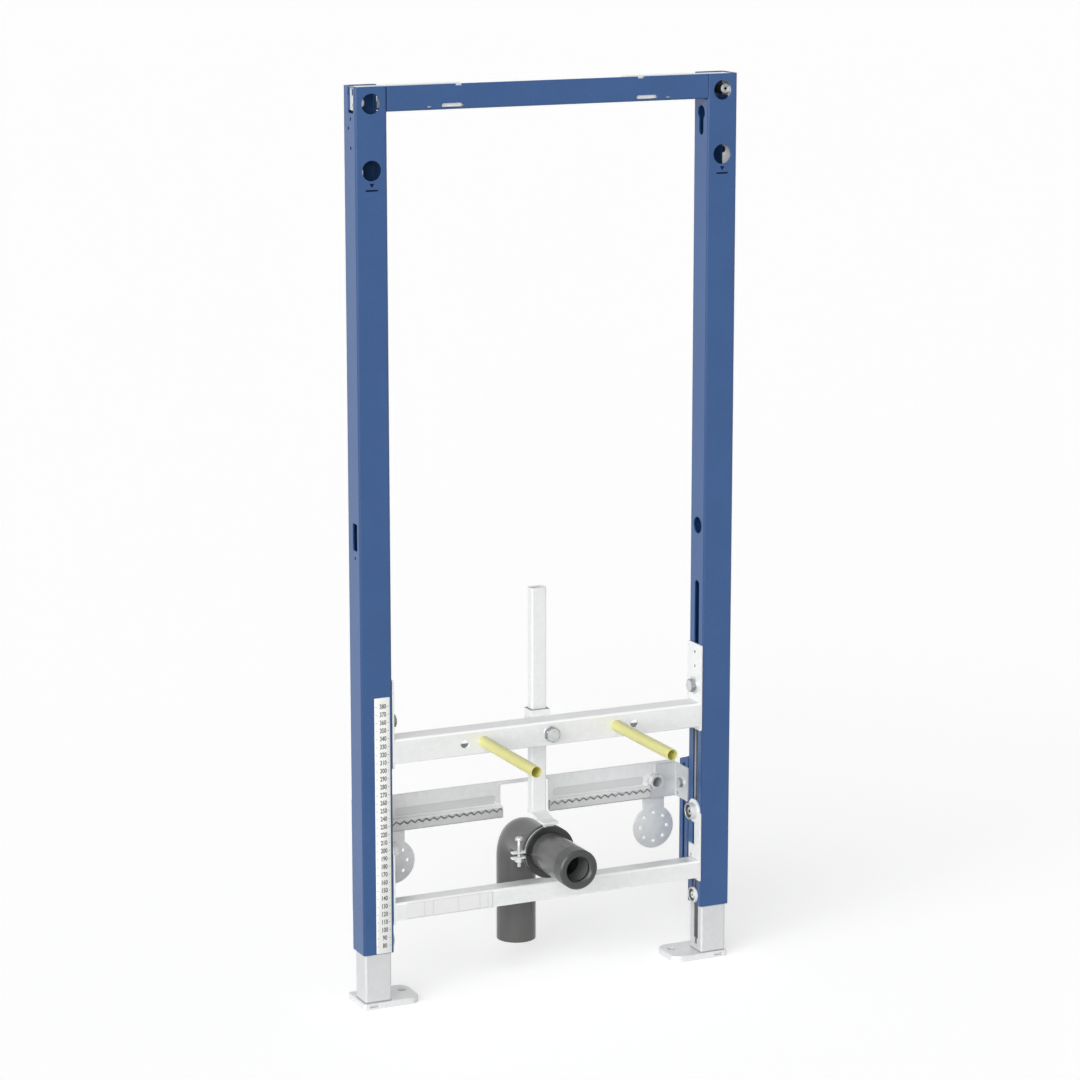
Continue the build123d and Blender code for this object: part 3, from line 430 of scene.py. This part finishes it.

# the paler bore of the collar, and a painted dark ring in it, the painted shade of an inner step, both
# by their place
collarBore = {"mouthY": -68, "middleY": -62.5, "half": 1.8, "axisZ": 169.5, "radius": 16.4,
          "boreTone": "757776", "ringShadeTone": "161717"}
collarTree = collarRubber.node_tree
boreX, boreY, boreZ = placeOf(collarTree)
boreZ = maths(collarTree, "SUBTRACT", boreZ, collarBore["axisZ"] * mm)
squares = [maths(collarTree, "MULTIPLY", way, way) for way in (boreX, boreZ)]
outwards = maths(collarTree, "ADD", *squares)
inBore = maths(collarTree, "LESS_THAN", outwards, (collarBore["radius"] * mm) ** 2)
pastMouth = maths(collarTree, "GREATER_THAN", boreY, collarBore["mouthY"] * mm)
inRingShade = sameSpot(collarTree, boreY, collarBore["middleY"], collarBore["half"])
inkOver(collarRubber, maths(collarTree, "MULTIPLY", inBore, pastMouth), collarBore["boreTone"])
inkOver(collarRubber, maths(collarTree, "MULTIPLY", inBore, inRingShade), collarBore["ringShadeTone"])

# painted light and shade on the tap rail's folds: painted shade on its bead, on the ledge's front face
# and along the hem, a painted highlight on the ledge's top, and painted shade along its zigzag slit
slit = {"face": 74.5, "faceTone": "C6C7C7", "bead": 83.5, "beadTone": "CDCECE",
        "ledge": 217.5, "ledgeWithin": 0.4, "ledgeTone": "F4F4F2", "hem": 203.2, "hemTone": "A8A9A9",
        "toneShare": 0.8, "low": 210.4, "rise": 4, "tooth": 5, "half": 1, "slitShadeTone": "646668",
        "leftStart": -185, "leftLong": 147.5, "rightStart": 29.85, "rightLong": 139.5}
tapTree = zincTap.node_tree
tapX, tapY, tapZ = placeOf(tapTree)
tapFace = sameSpot(tapTree, tapY, slit["face"])
tapLightAndShade = {
    "bead": sameSpot(tapTree, tapY, slit["bead"]),
    "face": tapFace,
    "ledge": sameSpot(tapTree, tapZ, slit["ledge"], slit["ledgeWithin"]),
    "hem": maths(tapTree, "LESS_THAN", tapZ, slit["hem"] * mm),
}
# painted shade on the bead, the ledge's front face and the hem; a painted highlight on the ledge's top
for spotName, spot in tapLightAndShade.items():
    inkOver(zincTap, maths(tapTree, "MULTIPLY", spot, slit["toneShare"]), slit[spotName + "Tone"])
onLeft = maths(tapTree, "LESS_THAN", tapX, 0)


def byHalf(word):               # the slit's value on the left half or on the right one
    step = (slit["left" + word] - slit["right" + word]) * mm
    return maths(tapTree, "MULTIPLY_ADD", onLeft, step, slit["right" + word] * mm)


along = maths(tapTree, "SUBTRACT", tapX, byHalf("Start"))
wave = maths(tapTree, "PINGPONG", along, slit["tooth"] * mm)
level = maths(tapTree, "MULTIPLY_ADD", wave, slit["rise"] / slit["tooth"], slit["low"] * mm)
slitShade = maths(tapTree, "COMPARE", tapZ, level, slit["half"] * mm)
pastStart = maths(tapTree, "GREATER_THAN", along, 0)
beforeEnd = maths(tapTree, "LESS_THAN", along, byHalf("Long"))
for limit in (tapFace, pastStart, beforeEnd):
    slitShade = maths(tapTree, "MULTIPLY", slitShade, limit)
# painted shade along the zigzag slit
inkOver(zincTap, slitShade, slit["slitShadeTone"])

# the foot tubes are darker towards their bottom, just above their plates
tubeFootBand = {"top": 10.5, "fade": 1.5, "share": 0.75, "tone": "7E8082"}
footTree = zincFoot.node_tree
tubeFootBandMask = ranged(footTree, placeOf(footTree)[2], tubeFootBand["share"], 0,
                  (tubeFootBand["top"] - tubeFootBand["fade"]) * mm, tubeFootBand["top"] * mm)
inkOver(zincFoot, tubeFootBandMask, tubeFootBand["tone"])

slotLooks = {
    "blue_coating": blueCoat,
    "galvanised_steel": zincSheet,
    "white_plastic": whitePlastic,
    "grey_pe": pipeGrey,
    "black_rubber": softRubber,
    "yellow_tube": yellowTube,
}
# zinc parts get finishes of different tones; the tap discs' paler finish is partly painted light,
# lifting the left disc out of the left post's shadow
nodeLooks = {
    "waste_collar": collarRubber, "tap_rail": zincTap, "arm_sleeve": zincSleeve,
    "fastening_rail": zincRail, "lower_rail": zincRail, "arm_bar": zincRail,
    "clamp_plate": zincBright, "pipe_clamp": zincBright,
}
pairLooks = {
    "rail_end_plate": zincBright, "lower_end_plate": zincBright, "corner_connector": zincBright,
    "foot_tube": zincFoot, "foot_plate": zincPale, "tap_disc": zincPale,
}
for side in ("left_", "right_"):
    for word, look in pairLooks.items():
        nodeLooks[side + word] = look
for row in frame["record"]["subparts"]:
    node = frame["nodes"][row["node"]]
    if not node.material_slots:
        node.data.materials.append(None)
    for place in node.material_slots:
        place.material = nodeLooks.get(row["node"], slotLooks[row["material_slot"]])
print("finishes on the nodes")


# modelling helpers

def makeActive(piece):
    clearSelection()
    piece.select_set(True)
    bpy.context.view_layer.objects.active = piece


def settle(piece):              # place, turn and size go into the mesh
    makeActive(piece)
    bpy.ops.object.transform_apply(location=True, rotation=True, scale=True)
    return piece


def startBox(name, low, high):
    clearSelection()
    middle = [(a + b) / 2 * mm for a, b in zip(low, high)]
    span = [(b - a) * mm for a, b in zip(low, high)]
    bpy.ops.mesh.primitive_cube_add(size=1, location=middle, scale=span)
    piece = bpy.context.object
    piece.name = name
    return settle(piece)


axisTurns = {"x": (0, math.pi / 2, 0), "y": (math.pi / 2, 0, 0), "z": (0, 0, 0)}


def startRound(name, centre, radius, length, axis, sides=48, topRadius=None):
    clearSelection()
    topRadius = radius if topRadius is None else topRadius
    bpy.ops.mesh.primitive_cone_add(
        vertices=sides, radius1=radius * mm, radius2=topRadius * mm, depth=length * mm,
        location=[c * mm for c in centre], rotation=axisTurns[axis])
    piece = bpy.context.object
    piece.name = name
    return settle(piece)


def startPicking(piece, kind):  # nothing picked yet, in the mode that a test can pick in
    makeActive(piece)
    bpy.ops.object.mode_set(mode="EDIT")
    bpy.ops.mesh.select_mode(type=kind)
    bpy.ops.mesh.select_all(action="DESELECT")
    bpy.ops.object.mode_set(mode="OBJECT")


def pickFaces(piece, test):     # by middle, in millimetres, and normal
    startPicking(piece, "FACE")
    for face in piece.data.polygons:
        face.select = bool(test(face.center / mm, face.normal))
    bpy.ops.object.mode_set(mode="EDIT")


def pickEdges(piece, test):     # by the two ends, in millimetres
    startPicking(piece, "EDGE")
    points = piece.data.vertices
    for edge in piece.data.edges:
        first, second = (points[end].co / mm for end in edge.vertices)
        edge.select = bool(test(first, second))
    bpy.ops.object.mode_set(mode="EDIT")


def roundPicked(width, segments=3):
    bpy.ops.mesh.bevel(offset=width * mm, segments=segments, affect="EDGES")
    bpy.ops.object.mode_set(mode="OBJECT")


def sinkPicked(inset, shift):   # a smaller copy of the picked face, moved in
    bpy.ops.mesh.inset(thickness=inset * mm)
    bpy.ops.mesh.extrude_region_move(TRANSFORM_OT_translate={"value": [s * mm for s in shift]})
    bpy.ops.object.mode_set(mode="OBJECT")


def sameOn(a, b, axis):
    return abs(a[axis] - b[axis]) < near


def frontToBack(a, b):          # an edge along y
    return sameOn(a, b, 0) and sameOn(a, b, 2)


def cutWith(piece, tool, operation):
    makeActive(piece)
    cut = piece.modifiers.new("cut", "BOOLEAN")
    cut.operation = operation
    cut.solver = "EXACT"
    cut.object = tool
    bpy.ops.object.modifier_apply(modifier=cut.name)
    bpy.data.objects.remove(tool)


def joinPieces(name, parts):
    clearSelection()
    for part in parts:
        part.select_set(True)
    bpy.context.view_layer.objects.active = parts[0]
    bpy.ops.object.join()
    joined = bpy.context.object
    joined.name = name
    return joined


def copyPiece(piece, name, shift=(0, 0, 0), turn=0):
    makeActive(piece)
    bpy.ops.object.duplicate()
    copied = bpy.context.object
    copied.name = name
    copied.location = [s * mm for s in shift]
    copied.rotation_euler = (0, 0, turn)
    return settle(copied)


def copyAcross(piece, name, middleY):   # half a turn about the upright line at x 0
    return copyPiece(piece, name, (0, 2 * middleY, 0), math.pi)


def finishPiece(piece, body, slotName, look, *standsFor):
    makeActive(piece)
    piece.data.materials.clear()
    piece.data.materials.append(look)
    bpy.ops.object.shade_smooth_by_angle(angle=math.radians(smoothAngle))
    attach(piece, body)
    if standsFor:
        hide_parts(*standsFor)


def darken(piece, test, look=deepShade):    # painted shade, as a darker finish on faces down in a recess, or on the flats of a bolt
    piece.data.materials.append(look)
    for face in piece.data.polygons:
        if test(face.center / mm):
            face.material_index = len(piece.data.materials) - 1


# ruler strip on the left post: sticker, numbers and ticks

ruler = {
    "left": -233.5, "right": -213.5, "bottom": 70.5, "top": 391,
    "front": 12.2, "back": 12.55, "corner": 0.8, "edge": 0.08,
    "first": 80, "last": 380, "step": 10,
    "numberX": -222.6, "numberSize": 8, "numberSqueeze": 0.72, "numberBold": 0.22,
    "ink": 0.06,                # how far the ink stands on the strip
    "tickLong": 2.2, "tickWide": 0.4, "tickInset": 1.2, "tickSunk": 0.02, "tickCorner": 0.15,
}
stripFront = ruler["front"] + near
strip = startBox("ruler_strip", (ruler["left"], ruler["front"], ruler["bottom"]),
                 (ruler["right"], ruler["back"], ruler["top"]))
pickEdges(strip, frontToBack)
roundPicked(ruler["corner"], 4)
pickEdges(strip, lambda a, b: a.y < stripFront and b.y < stripFront)
roundPicked(ruler["edge"], 2)
finishPiece(strip, "frame", "white_plastic", stripWhite)

numbers = []
for value in range(ruler["first"], ruler["last"] + 1, ruler["step"]):
    clearSelection()
    bpy.ops.object.text_add(rotation=(math.pi / 2, 0, 0))
    word = bpy.context.object
    word.data.body = str(value)
    word.data.align_x = "CENTER"
    word.data.align_y = "CENTER"
    word.data.size = ruler["numberSize"] * mm
    word.data.extrude = ruler["ink"] * mm
    word.data.offset = ruler["numberBold"] * mm
    word.data.resolution_u = 3
    bpy.ops.object.convert(target="MESH")
    word = bpy.context.object
    word.location = (ruler["numberX"] * mm, ruler["front"] * mm, value * mm)
    word.scale = (ruler["numberSqueeze"], 1, 1)
    numbers.append(settle(word))
rulerNumbers = joinPieces("ruler_numbers", numbers)
finishPiece(rulerNumbers, "frame", "white_plastic", inkGrey)

ticks = []
tickLow = ruler["first"] - ruler["tickWide"] / 2
leftTick = ruler["left"] + ruler["tickInset"]
rightTick = ruler["right"] - ruler["tickInset"] - ruler["tickLong"]
for tickX in (leftTick, rightTick):
    tick = startBox(
        "tick", (tickX, ruler["front"] - ruler["ink"], tickLow),
        (tickX + ruler["tickLong"], ruler["front"] + ruler["tickSunk"], tickLow + ruler["tickWide"]))
    pickEdges(tick, frontToBack)
    roundPicked(ruler["tickCorner"], 2)
    row = tick.modifiers.new("row", "ARRAY")
    row.count = (ruler["last"] - ruler["first"]) // ruler["step"] + 1
    row.use_relative_offset = False
    row.use_constant_offset = True
    row.constant_offset_displace = (0, 0, ruler["step"] * mm)
    makeActive(tick)
    bpy.ops.object.modifier_apply(modifier=row.name)
    ticks.append(tick)
rulerTicks = joinPieces("ruler_ticks", ticks)
finishPiece(rulerTicks, "frame", "white_plastic", inkGrey)
print("ruler strip done")


# height marks under the lower anchor holes: a triangle and a dash

mark = {
    "x": 230, "front": 12.5, "proud": 0.1, "sunk": 0.05,
    "triangleWide": 6, "triangleTall": 4.8, "triangleZ": 1006, "triangleCorner": 0.25,
    "dashWide": 15.5, "dashTall": 2, "dashZ": 999.5, "dashCorner": 0.5,
}
markThick = mark["proud"] + mark["sunk"]
markY = mark["front"] + (mark["sunk"] - mark["proud"]) / 2
clearSelection()
bpy.ops.mesh.primitive_cylinder_add(
    vertices=3, radius=mark["triangleTall"] / 2 * mm, depth=markThick * mm,
    rotation=(-math.pi / 2, 0, 0))
triangle = settle(bpy.context.object)
triangle.dimensions = (mark["triangleWide"] * mm, markThick * mm, mark["triangleTall"] * mm)
settle(triangle)
triangle.location = (-mark["x"] * mm, markY * mm, mark["triangleZ"] * mm)
settle(triangle)
pickEdges(triangle, frontToBack)
roundPicked(mark["triangleCorner"], 2)
halfWide, halfTall = mark["dashWide"] / 2, mark["dashTall"] / 2
dash = startBox(
    "dash", (-mark["x"] - halfWide, mark["front"] - mark["proud"], mark["dashZ"] - halfTall),
    (-mark["x"] + halfWide, mark["front"] + mark["sunk"], mark["dashZ"] + halfTall))
pickEdges(dash, frontToBack)
roundPicked(mark["dashCorner"])
leftMarks = joinPieces("left_height_mark", [triangle, dash])
rightMarks = copyPiece(leftMarks, "right_height_mark", (2 * mark["x"], 0, 0))
finishPiece(leftMarks, "frame", "blue_coating", inkNavy)
finishPiece(rightMarks, "frame", "blue_coating", inkNavy)
print("height marks done")


# bare label on the lower rail: a grey sheet with plain panels

label = {
    "left": -193, "right": -78.3, "bottom": 110, "top": 130, "face": 12.5,
    "thick": 0.15, "sunk": 0.05, "corner": 1,
    "panelThick": 0.08, "panelSunk": 0.02, "panelCorner": 0.5, "margin": 0.7,
    "dividers": (-193, -169.4, -157.4, -124.2, -95.6, -84.7, -78.3),
}
sheetFront = label["face"] - label["thick"]
labelSheet = startBox("bare_label", (label["left"], sheetFront, label["bottom"]),
                      (label["right"], label["face"] + label["sunk"], label["top"]))
pickEdges(labelSheet, frontToBack)
roundPicked(label["corner"], 4)
finishPiece(labelSheet, "frame", "white_plastic", labelGrey)
panels = []
panelLow, panelHigh = label["bottom"] + label["margin"], label["top"] - label["margin"]
for start, end in zip(label["dividers"], label["dividers"][1:]):
    panel = startBox(
        "panel", (start + label["margin"], sheetFront - label["panelThick"], panelLow),
        (end - label["margin"], sheetFront + label["panelSunk"], panelHigh))
    pickEdges(panel, frontToBack)
    roundPicked(label["panelCorner"])
    panels.append(panel)
labelPanels = joinPieces("bare_label_panels", panels)
finishPiece(labelPanels, "frame", "white_plastic", labelPanel)
print("bare label done")


# hex heads with turned washers; every bolt is built upright at the origin, head up

bolts = {
    "crown": 0.475,             # radius of a head's flat top, as a share of its width
    "washerRounding": 0.3,      # as a share of the washer's height
    "core": 0.5, "coreEnd": 0.4, "ridge": 0.55,     # of a thread, as shares of its pitch
    "turnsLess": 2, "steps": 20,
    "pitch": 1.25, "inHead": 1,                     # of the 8 mm bolts
    "flatSlack": 0.5, "flatRise": 0.3,              # which faces count as a head's flats
}


def hexHead(acrossFlats, height, bottom):
    middle = (0, 0, bottom + height / 2)
    head = startRound("head", middle, acrossFlats / math.sqrt(3), height, "z", sides=6)
    crown = acrossFlats * bolts["crown"]
    cone = startRound("cone", middle, crown + height * math.sqrt(3), height, "z",
                      sides=64, topRadius=crown)
    cutWith(head, cone, "INTERSECT")
    return head


def washer(diameter, height, bottom):
    ring = startRound("washer", (0, 0, bottom + height / 2), diameter / 2, height, "z", sides=56)
    pickEdges(ring, lambda a, b: sameOn(a, b, 2) and a.z > bottom + height - near)
    roundPicked(height * bolts["washerRounding"])
    return ring


def threadedRod(diameter, bottom, top, pitch):
    core = startRound("core", (0, 0, (bottom + top) / 2),
                      diameter / 2 - pitch * bolts["core"], top - bottom, "z", sides=32)
    pickEdges(core, lambda a, b: sameOn(a, b, 2))
    roundPicked(pitch * bolts["coreEnd"], 2)
    clearSelection()
    ridgeRadius = pitch * bolts["ridge"]
    bpy.ops.mesh.primitive_circle_add(
        vertices=3, radius=ridgeRadius * mm,
        location=((diameter / 2 - ridgeRadius) * mm, 0, (bottom + pitch) * mm),
        rotation=(math.pi / 2, 0, math.pi / 2))
    ridge = settle(bpy.context.object)
    turn = ridge.modifiers.new("turn", "SCREW")
    turn.axis = "Z"
    turn.screw_offset = pitch * mm
    turn.iterations = int((top - bottom) / pitch) - bolts["turnsLess"]
    turn.steps = bolts["steps"]
    turn.render_steps = bolts["steps"]
    turn.use_merge_vertices = True
    makeActive(ridge)
    bpy.ops.object.modifier_apply(modifier=turn.name)
    bpy.ops.object.mode_set(mode="EDIT")
    bpy.ops.mesh.select_mode(type="EDGE")
    bpy.ops.mesh.select_all(action="DESELECT")
    bpy.ops.mesh.select_non_manifold()
    bpy.ops.mesh.fill_holes(sides=4)
    bpy.ops.mesh.select_all(action="SELECT")
    bpy.ops.mesh.normals_make_consistent(inside=False)
    bpy.ops.object.mode_set(mode="OBJECT")
    return joinPieces("rod", [core, ridge])


def boltParts(sizes, bottom):   # head, washer and threaded shank
    return [hexHead(sizes["head"], sizes["headHeight"], sizes["washerHeight"]),
            washer(sizes["washer"], sizes["washerHeight"], 0),
            threadedRod(sizes["shank"], bottom, bolts["inHead"], bolts["pitch"])]


def turnTo(piece, axis, sign, place):   # head up becomes head along the axis
    turns = {"x": (0, sign * math.pi / 2, 0), "y": (-sign * math.pi / 2, 0, 0), "z": (0, 0, 0)}
    piece.rotation_euler = turns[axis]
    settle(piece)
    piece.location = [p * mm for p in place]
    return settle(piece)


def onFlats(sizes, axis, place):    # the upright flats of a hex head
    def test(c):
        across = [c[k] - place[k] for k in range(3) if k != axis]
        atFlats = abs(math.hypot(*across) - sizes["head"] / 2) < bolts["flatSlack"]
        up = abs(c[axis] - place[axis]) - sizes["washerHeight"]
        return atFlats and up > bolts["flatRise"]
    return test


railBolt = {
    "y": 30, "z": 356.5, "face": 207.7, "head": 15, "headHeight": 6,
    "washer": 22, "washerHeight": 2, "shank": 8, "reach": 4.6,
    "nut": 22, "nutHeight": 5, "nutCorner": 2,
}
nutTop = -railBolt["reach"]
nutBottom = nutTop - railBolt["nutHeight"]
half = railBolt["nut"] / 2
railBoltParts = boltParts(railBolt, nutBottom)
slideNut = startBox("slideNut", (-half, -half, nutBottom), (half, half, nutTop))
pickEdges(slideNut, lambda a, b: sameOn(a, b, 0) and sameOn(a, b, 1))
roundPicked(railBolt["nutCorner"], 4)
leftRailBolt = joinPieces("left_rail_bolt_detail", railBoltParts + [slideNut])
turnTo(leftRailBolt, "x", 1, (-railBolt["face"], railBolt["y"], railBolt["z"]))
rightRailBolt = copyAcross(leftRailBolt, "right_rail_bolt_detail", railBolt["y"])
finishPiece(leftRailBolt, "rail", "galvanised_steel", zincBolt, "left_rail_bolt")
finishPiece(rightRailBolt, "rail", "galvanised_steel", zincBolt, "right_rail_bolt")
# painted shade on the flats of the rail bolts' heads
for side, piece in ((-1, leftRailBolt), (1, rightRailBolt)):
    boltPlace = (side * railBolt["face"], railBolt["y"], railBolt["z"])
    darken(piece, onFlats(railBolt, 0, boltPlace), zincFlatShade)
print("rail bolts done")

armBolt = {
    "z": 321.5, "face": 12.5, "head": 17, "headHeight": 7,
    "washer": 20, "washerHeight": 2, "shank": 8, "reach": 30,
}
armBoltPlace = (0, armBolt["face"], armBolt["z"])
armBoltPiece = joinPieces("arm_bolt_detail", boltParts(armBolt, -armBolt["reach"]))
turnTo(armBoltPiece, "y", -1, armBoltPlace)
finishPiece(armBoltPiece, "rail", "galvanised_steel", zincBolt, "arm_bolt")
# painted shade on the flats of the arm bolt's head
darken(armBoltPiece, onFlats(armBolt, 1, armBoltPlace), zincFlatShade)
print("arm bolt done")

tapBolt = {
    "y": 61, "z": 222, "face": 208, "head": 11, "headHeight": 4.6,
    "washer": 14.5, "washerHeight": 1.6, "shank": 7.4, "reach": 8,
}
leftTapBolt = joinPieces("left_tap_bolt", boltParts(tapBolt, -tapBolt["reach"]))
turnTo(leftTapBolt, "x", 1, (-tapBolt["face"], tapBolt["y"], tapBolt["z"]))
rightTapBolt = copyAcross(leftTapBolt, "right_tap_bolt", tapBolt["y"])
finishPiece(leftTapBolt, "frame", "galvanised_steel", zincBolt)
finishPiece(rightTapBolt, "frame", "galvanised_steel", zincBolt)
# painted shade on the flats of the tap bolts' heads
for side, piece in ((-1, leftTapBolt), (1, rightTapBolt)):
    boltPlace = (side * tapBolt["face"], tapBolt["y"], tapBolt["z"])
    darken(piece, onFlats(tapBolt, 0, boltPlace), zincFlatShade)
print("tap bolts done")


# clamp screw: pan head with a cross, thread and nut

clampScrew = {
    "x": -39.7, "y": 19, "bottom": 154.5, "top": 192.5, "thread": 5, "pitch": 0.8, "inHead": 0.5,
    "head": 10, "headHeight": 4, "dome": 2.4, "cross": 1.1, "crossLong": 5.2, "crossDeep": 2.2,
    "nut": 10, "nutHeight": 4, "nutTop": 165,
}
screwLong = clampScrew["top"] - clampScrew["bottom"]
headBottom = screwLong - clampScrew["headHeight"]
panHead = startRound("panHead", (0, 0, screwLong - clampScrew["headHeight"] / 2),
                     clampScrew["head"] / 2, clampScrew["headHeight"], "z")
pickEdges(panHead, lambda a, b: sameOn(a, b, 2) and a.z > screwLong - near)
roundPicked(clampScrew["dome"], 5)
crossArms = ((clampScrew["crossLong"], clampScrew["cross"]),
             (clampScrew["cross"], clampScrew["crossLong"]))
for wide, deep in crossArms:
    blade = startBox("blade", (-wide / 2, -deep / 2, screwLong - clampScrew["crossDeep"]),
                     (wide / 2, deep / 2, screwLong + 1))
    cutWith(panHead, blade, "DIFFERENCE")
screwRod = threadedRod(clampScrew["thread"], 0, headBottom + clampScrew["inHead"], clampScrew["pitch"])
screwNutBottom = clampScrew["nutTop"] - clampScrew["nutHeight"] - clampScrew["bottom"]
screwNut = hexHead(clampScrew["nut"], clampScrew["nutHeight"], screwNutBottom)
screwPiece = joinPieces("clamp_screw_detail", [panHead, screwRod, screwNut])
turnTo(screwPiece, "z", 1, (clampScrew["x"], clampScrew["y"], clampScrew["bottom"]))
finishPiece(screwPiece, "waste", "galvanised_steel", zincBolt, "clamp_screw")
print("clamp screw done")


# cup-shaped knobs on the lower rail and flat foot brakes, each round a nut with a socket

def cupKnob(sizes):
    height, hexTop = sizes["height"], sizes["hexTop"]
    cup = startRound("cup", (0, 0, height / 2), sizes["diameter"] / 2, height, "z", sides=56)
    pickFaces(cup, lambda c, n: n.z > facing)
    sinkPicked(sizes["rim"], (0, 0, -sizes["deep"]))
    pickEdges(cup, lambda a, b: sameOn(a, b, 2) and a.z > height - near)
    roundPicked(sizes["rounding"], 4)
    hexBottom = height - sizes["deep"] - sizes["hexSunk"]
    nut = hexHead(sizes["hex"], hexTop - hexBottom, hexBottom)
    pickFaces(nut, lambda c, n: n.z > facing and c.z > hexTop - near)
    sinkPicked(sizes["hex"] * bolts["crown"] - sizes["socket"] / 2, (0, 0, -sizes["socketDeep"]))
    return joinPieces("knob", [cup, nut])


def outFrom(sizes, c):          # how far a place is from the knob's axis
    return math.hypot(c.y - sizes["y"], c.z - sizes["z"])


recess = {"inside": 1, "outside": 0.1, "lip": 0.6}      # which faces count as its wall


def inRecess(sizes):
    bottom = sizes["face"] - sizes["height"] + sizes["deep"]
    lip = bottom - sizes["deep"] + recess["lip"]
    wall = sizes["diameter"] / 2 - sizes["rim"]

    def test(c):
        out = outFrom(sizes, c)
        onWall = wall - recess["inside"] < out < wall + recess["outside"]
        onBottom = out < recess["inside"] and abs(abs(c.x) - bottom) < slack
        return onBottom or (onWall and lip < abs(c.x) < bottom)
    return test


def inSocket(sizes):
    mouth = sizes["face"] - sizes["hexTop"] + slack

    def test(c):
        return (outFrom(sizes, c) < sizes["socket"] / 2 + slack
                and mouth < abs(c.x) < mouth + sizes["socketDeep"])
    return test


knob = {
    "y": 30, "z": 193, "face": 208, "diameter": 21, "height": 8, "rim": 2.2, "deep": 6.2,
    "rounding": 0.9, "hex": 9, "hexTop": 6, "hexSunk": 0.2, "socket": 4.6, "socketDeep": 2.5,
    "shank": 8, "reach": 4,
}
knobCup = cupKnob(knob)
knobShank = threadedRod(knob["shank"], -knob["reach"], bolts["inHead"], bolts["pitch"])
leftKnob = joinPieces("left_knob_detail", [knobCup, knobShank])
turnTo(leftKnob, "x", 1, (-knob["face"], knob["y"], knob["z"]))
rightKnob = copyAcross(leftKnob, "right_knob_detail", knob["y"])
finishPiece(leftKnob, "frame", "galvanised_steel", zincSheet, "left_lower_knob")
finishPiece(rightKnob, "frame", "galvanised_steel", zincSheet, "right_lower_knob")

brake = {
    "y": 30, "z": 82, "face": 210, "diameter": 20, "height": 4, "rim": 2.2, "deep": 3,
    "rounding": 0.8, "hex": 8, "hexTop": 2.8, "hexSunk": 0.2, "socket": 3.4, "socketDeep": 1.2,
    "shank": 8, "reach": 2,
}
brakeCup = cupKnob(brake)
brakeShank = startRound("shank", (0, 0, -brake["reach"] / 2), brake["shank"] / 2, brake["reach"], "z")
leftBrake = joinPieces("left_brake_detail", [brakeCup, brakeShank])
turnTo(leftBrake, "x", 1, (-brake["face"], brake["y"], brake["z"]))
rightBrake = copyAcross(leftBrake, "right_brake_detail", brake["y"])
finishPiece(leftBrake, "frame", "white_plastic", whitePlastic, "left_foot_brake")
finishPiece(rightBrake, "frame", "white_plastic", whitePlastic, "right_foot_brake")
# painted shade in the cups' recesses and in the nuts' sockets
for piece, sizes in ((leftKnob, knob), (rightKnob, knob), (leftBrake, brake), (rightBrake, brake)):
    darken(piece, inRecess(sizes), cupShade)
    darken(piece, inSocket(sizes))
print("knobs and brakes done")


# inside the posts, behind the anchor holes: a bush above and a notched tab below

bush = {"x": 239.5, "front": 24, "back": 47.4, "z": 1100.5, "diameter": 12, "dot": 3.4,
        "deep": 6, "rounding": 0.8,
        "rimShare": 0.49, "barrelShare": 0.48, "dotShare": 0.52}     # of the diameters, for picking
leftBush = startRound("left_anchor_bush", (-bush["x"], (bush["front"] + bush["back"]) / 2, bush["z"]),
                      bush["diameter"] / 2, bush["back"] - bush["front"], "y", sides=40)


def outFromBush(c):             # on either side of the frame
    return math.hypot(abs(c.x) - bush["x"], c.z - bush["z"])


def frontRim(a, b):
    atRim = outFromBush(a) > bush["diameter"] * bush["rimShare"]
    return atRim and sameOn(a, b, 1) and a.y < bush["front"] + near


def barrelOrDot(c):
    out = outFromBush(c)
    onBarrel = out > bush["diameter"] * bush["barrelShare"] and c.y > bush["front"] + bush["rounding"]
    return onBarrel or out < bush["dot"] * bush["dotShare"]


pickFaces(leftBush, lambda c, n: n.y < -facing)
sinkPicked((bush["diameter"] - bush["dot"]) / 2, (0, bush["deep"], 0))
pickEdges(leftBush, frontRim)
roundPicked(bush["rounding"])
rightBush = copyPiece(leftBush, "right_anchor_bush", (2 * bush["x"], 0, 0))
finishPiece(leftBush, "frame", "galvanised_steel", zincSheet)
finishPiece(rightBush, "frame", "galvanised_steel", zincSheet)
# painted shade on the bushes' barrels and on the dot sunk in their faces
darken(leftBush, barrelOrDot)
darken(rightBush, barrelOrDot)

tab = {"outer": 248, "inner": 236.5, "front": 23, "back": 25, "bottom": 1008, "top": 1037,
       "notch": 4, "notchZ": 1027, "notchLong": 9, "corner": 2}
tabY = (tab["front"] + tab["back"]) / 2
leftTab = startBox("left_anchor_tab", (-tab["outer"], tab["front"], tab["bottom"]),
                   (-tab["inner"], tab["back"], tab["top"]))
pickEdges(leftTab, lambda a, b: frontToBack(a, b) and a.x > -tab["inner"] - near)
roundPicked(tab["corner"], 4)
notch = startRound("notch", (-tab["inner"], tabY, tab["notchZ"]), tab["notch"], tab["notchLong"], "y")
cutWith(leftTab, notch, "DIFFERENCE")
rightTab = copyAcross(leftTab, "right_anchor_tab", tabY)
finishPiece(leftTab, "frame", "galvanised_steel", zincBright)
finishPiece(rightTab, "frame", "galvanised_steel", zincBright)
print("anchor bushes and tabs done")

clearSelection()
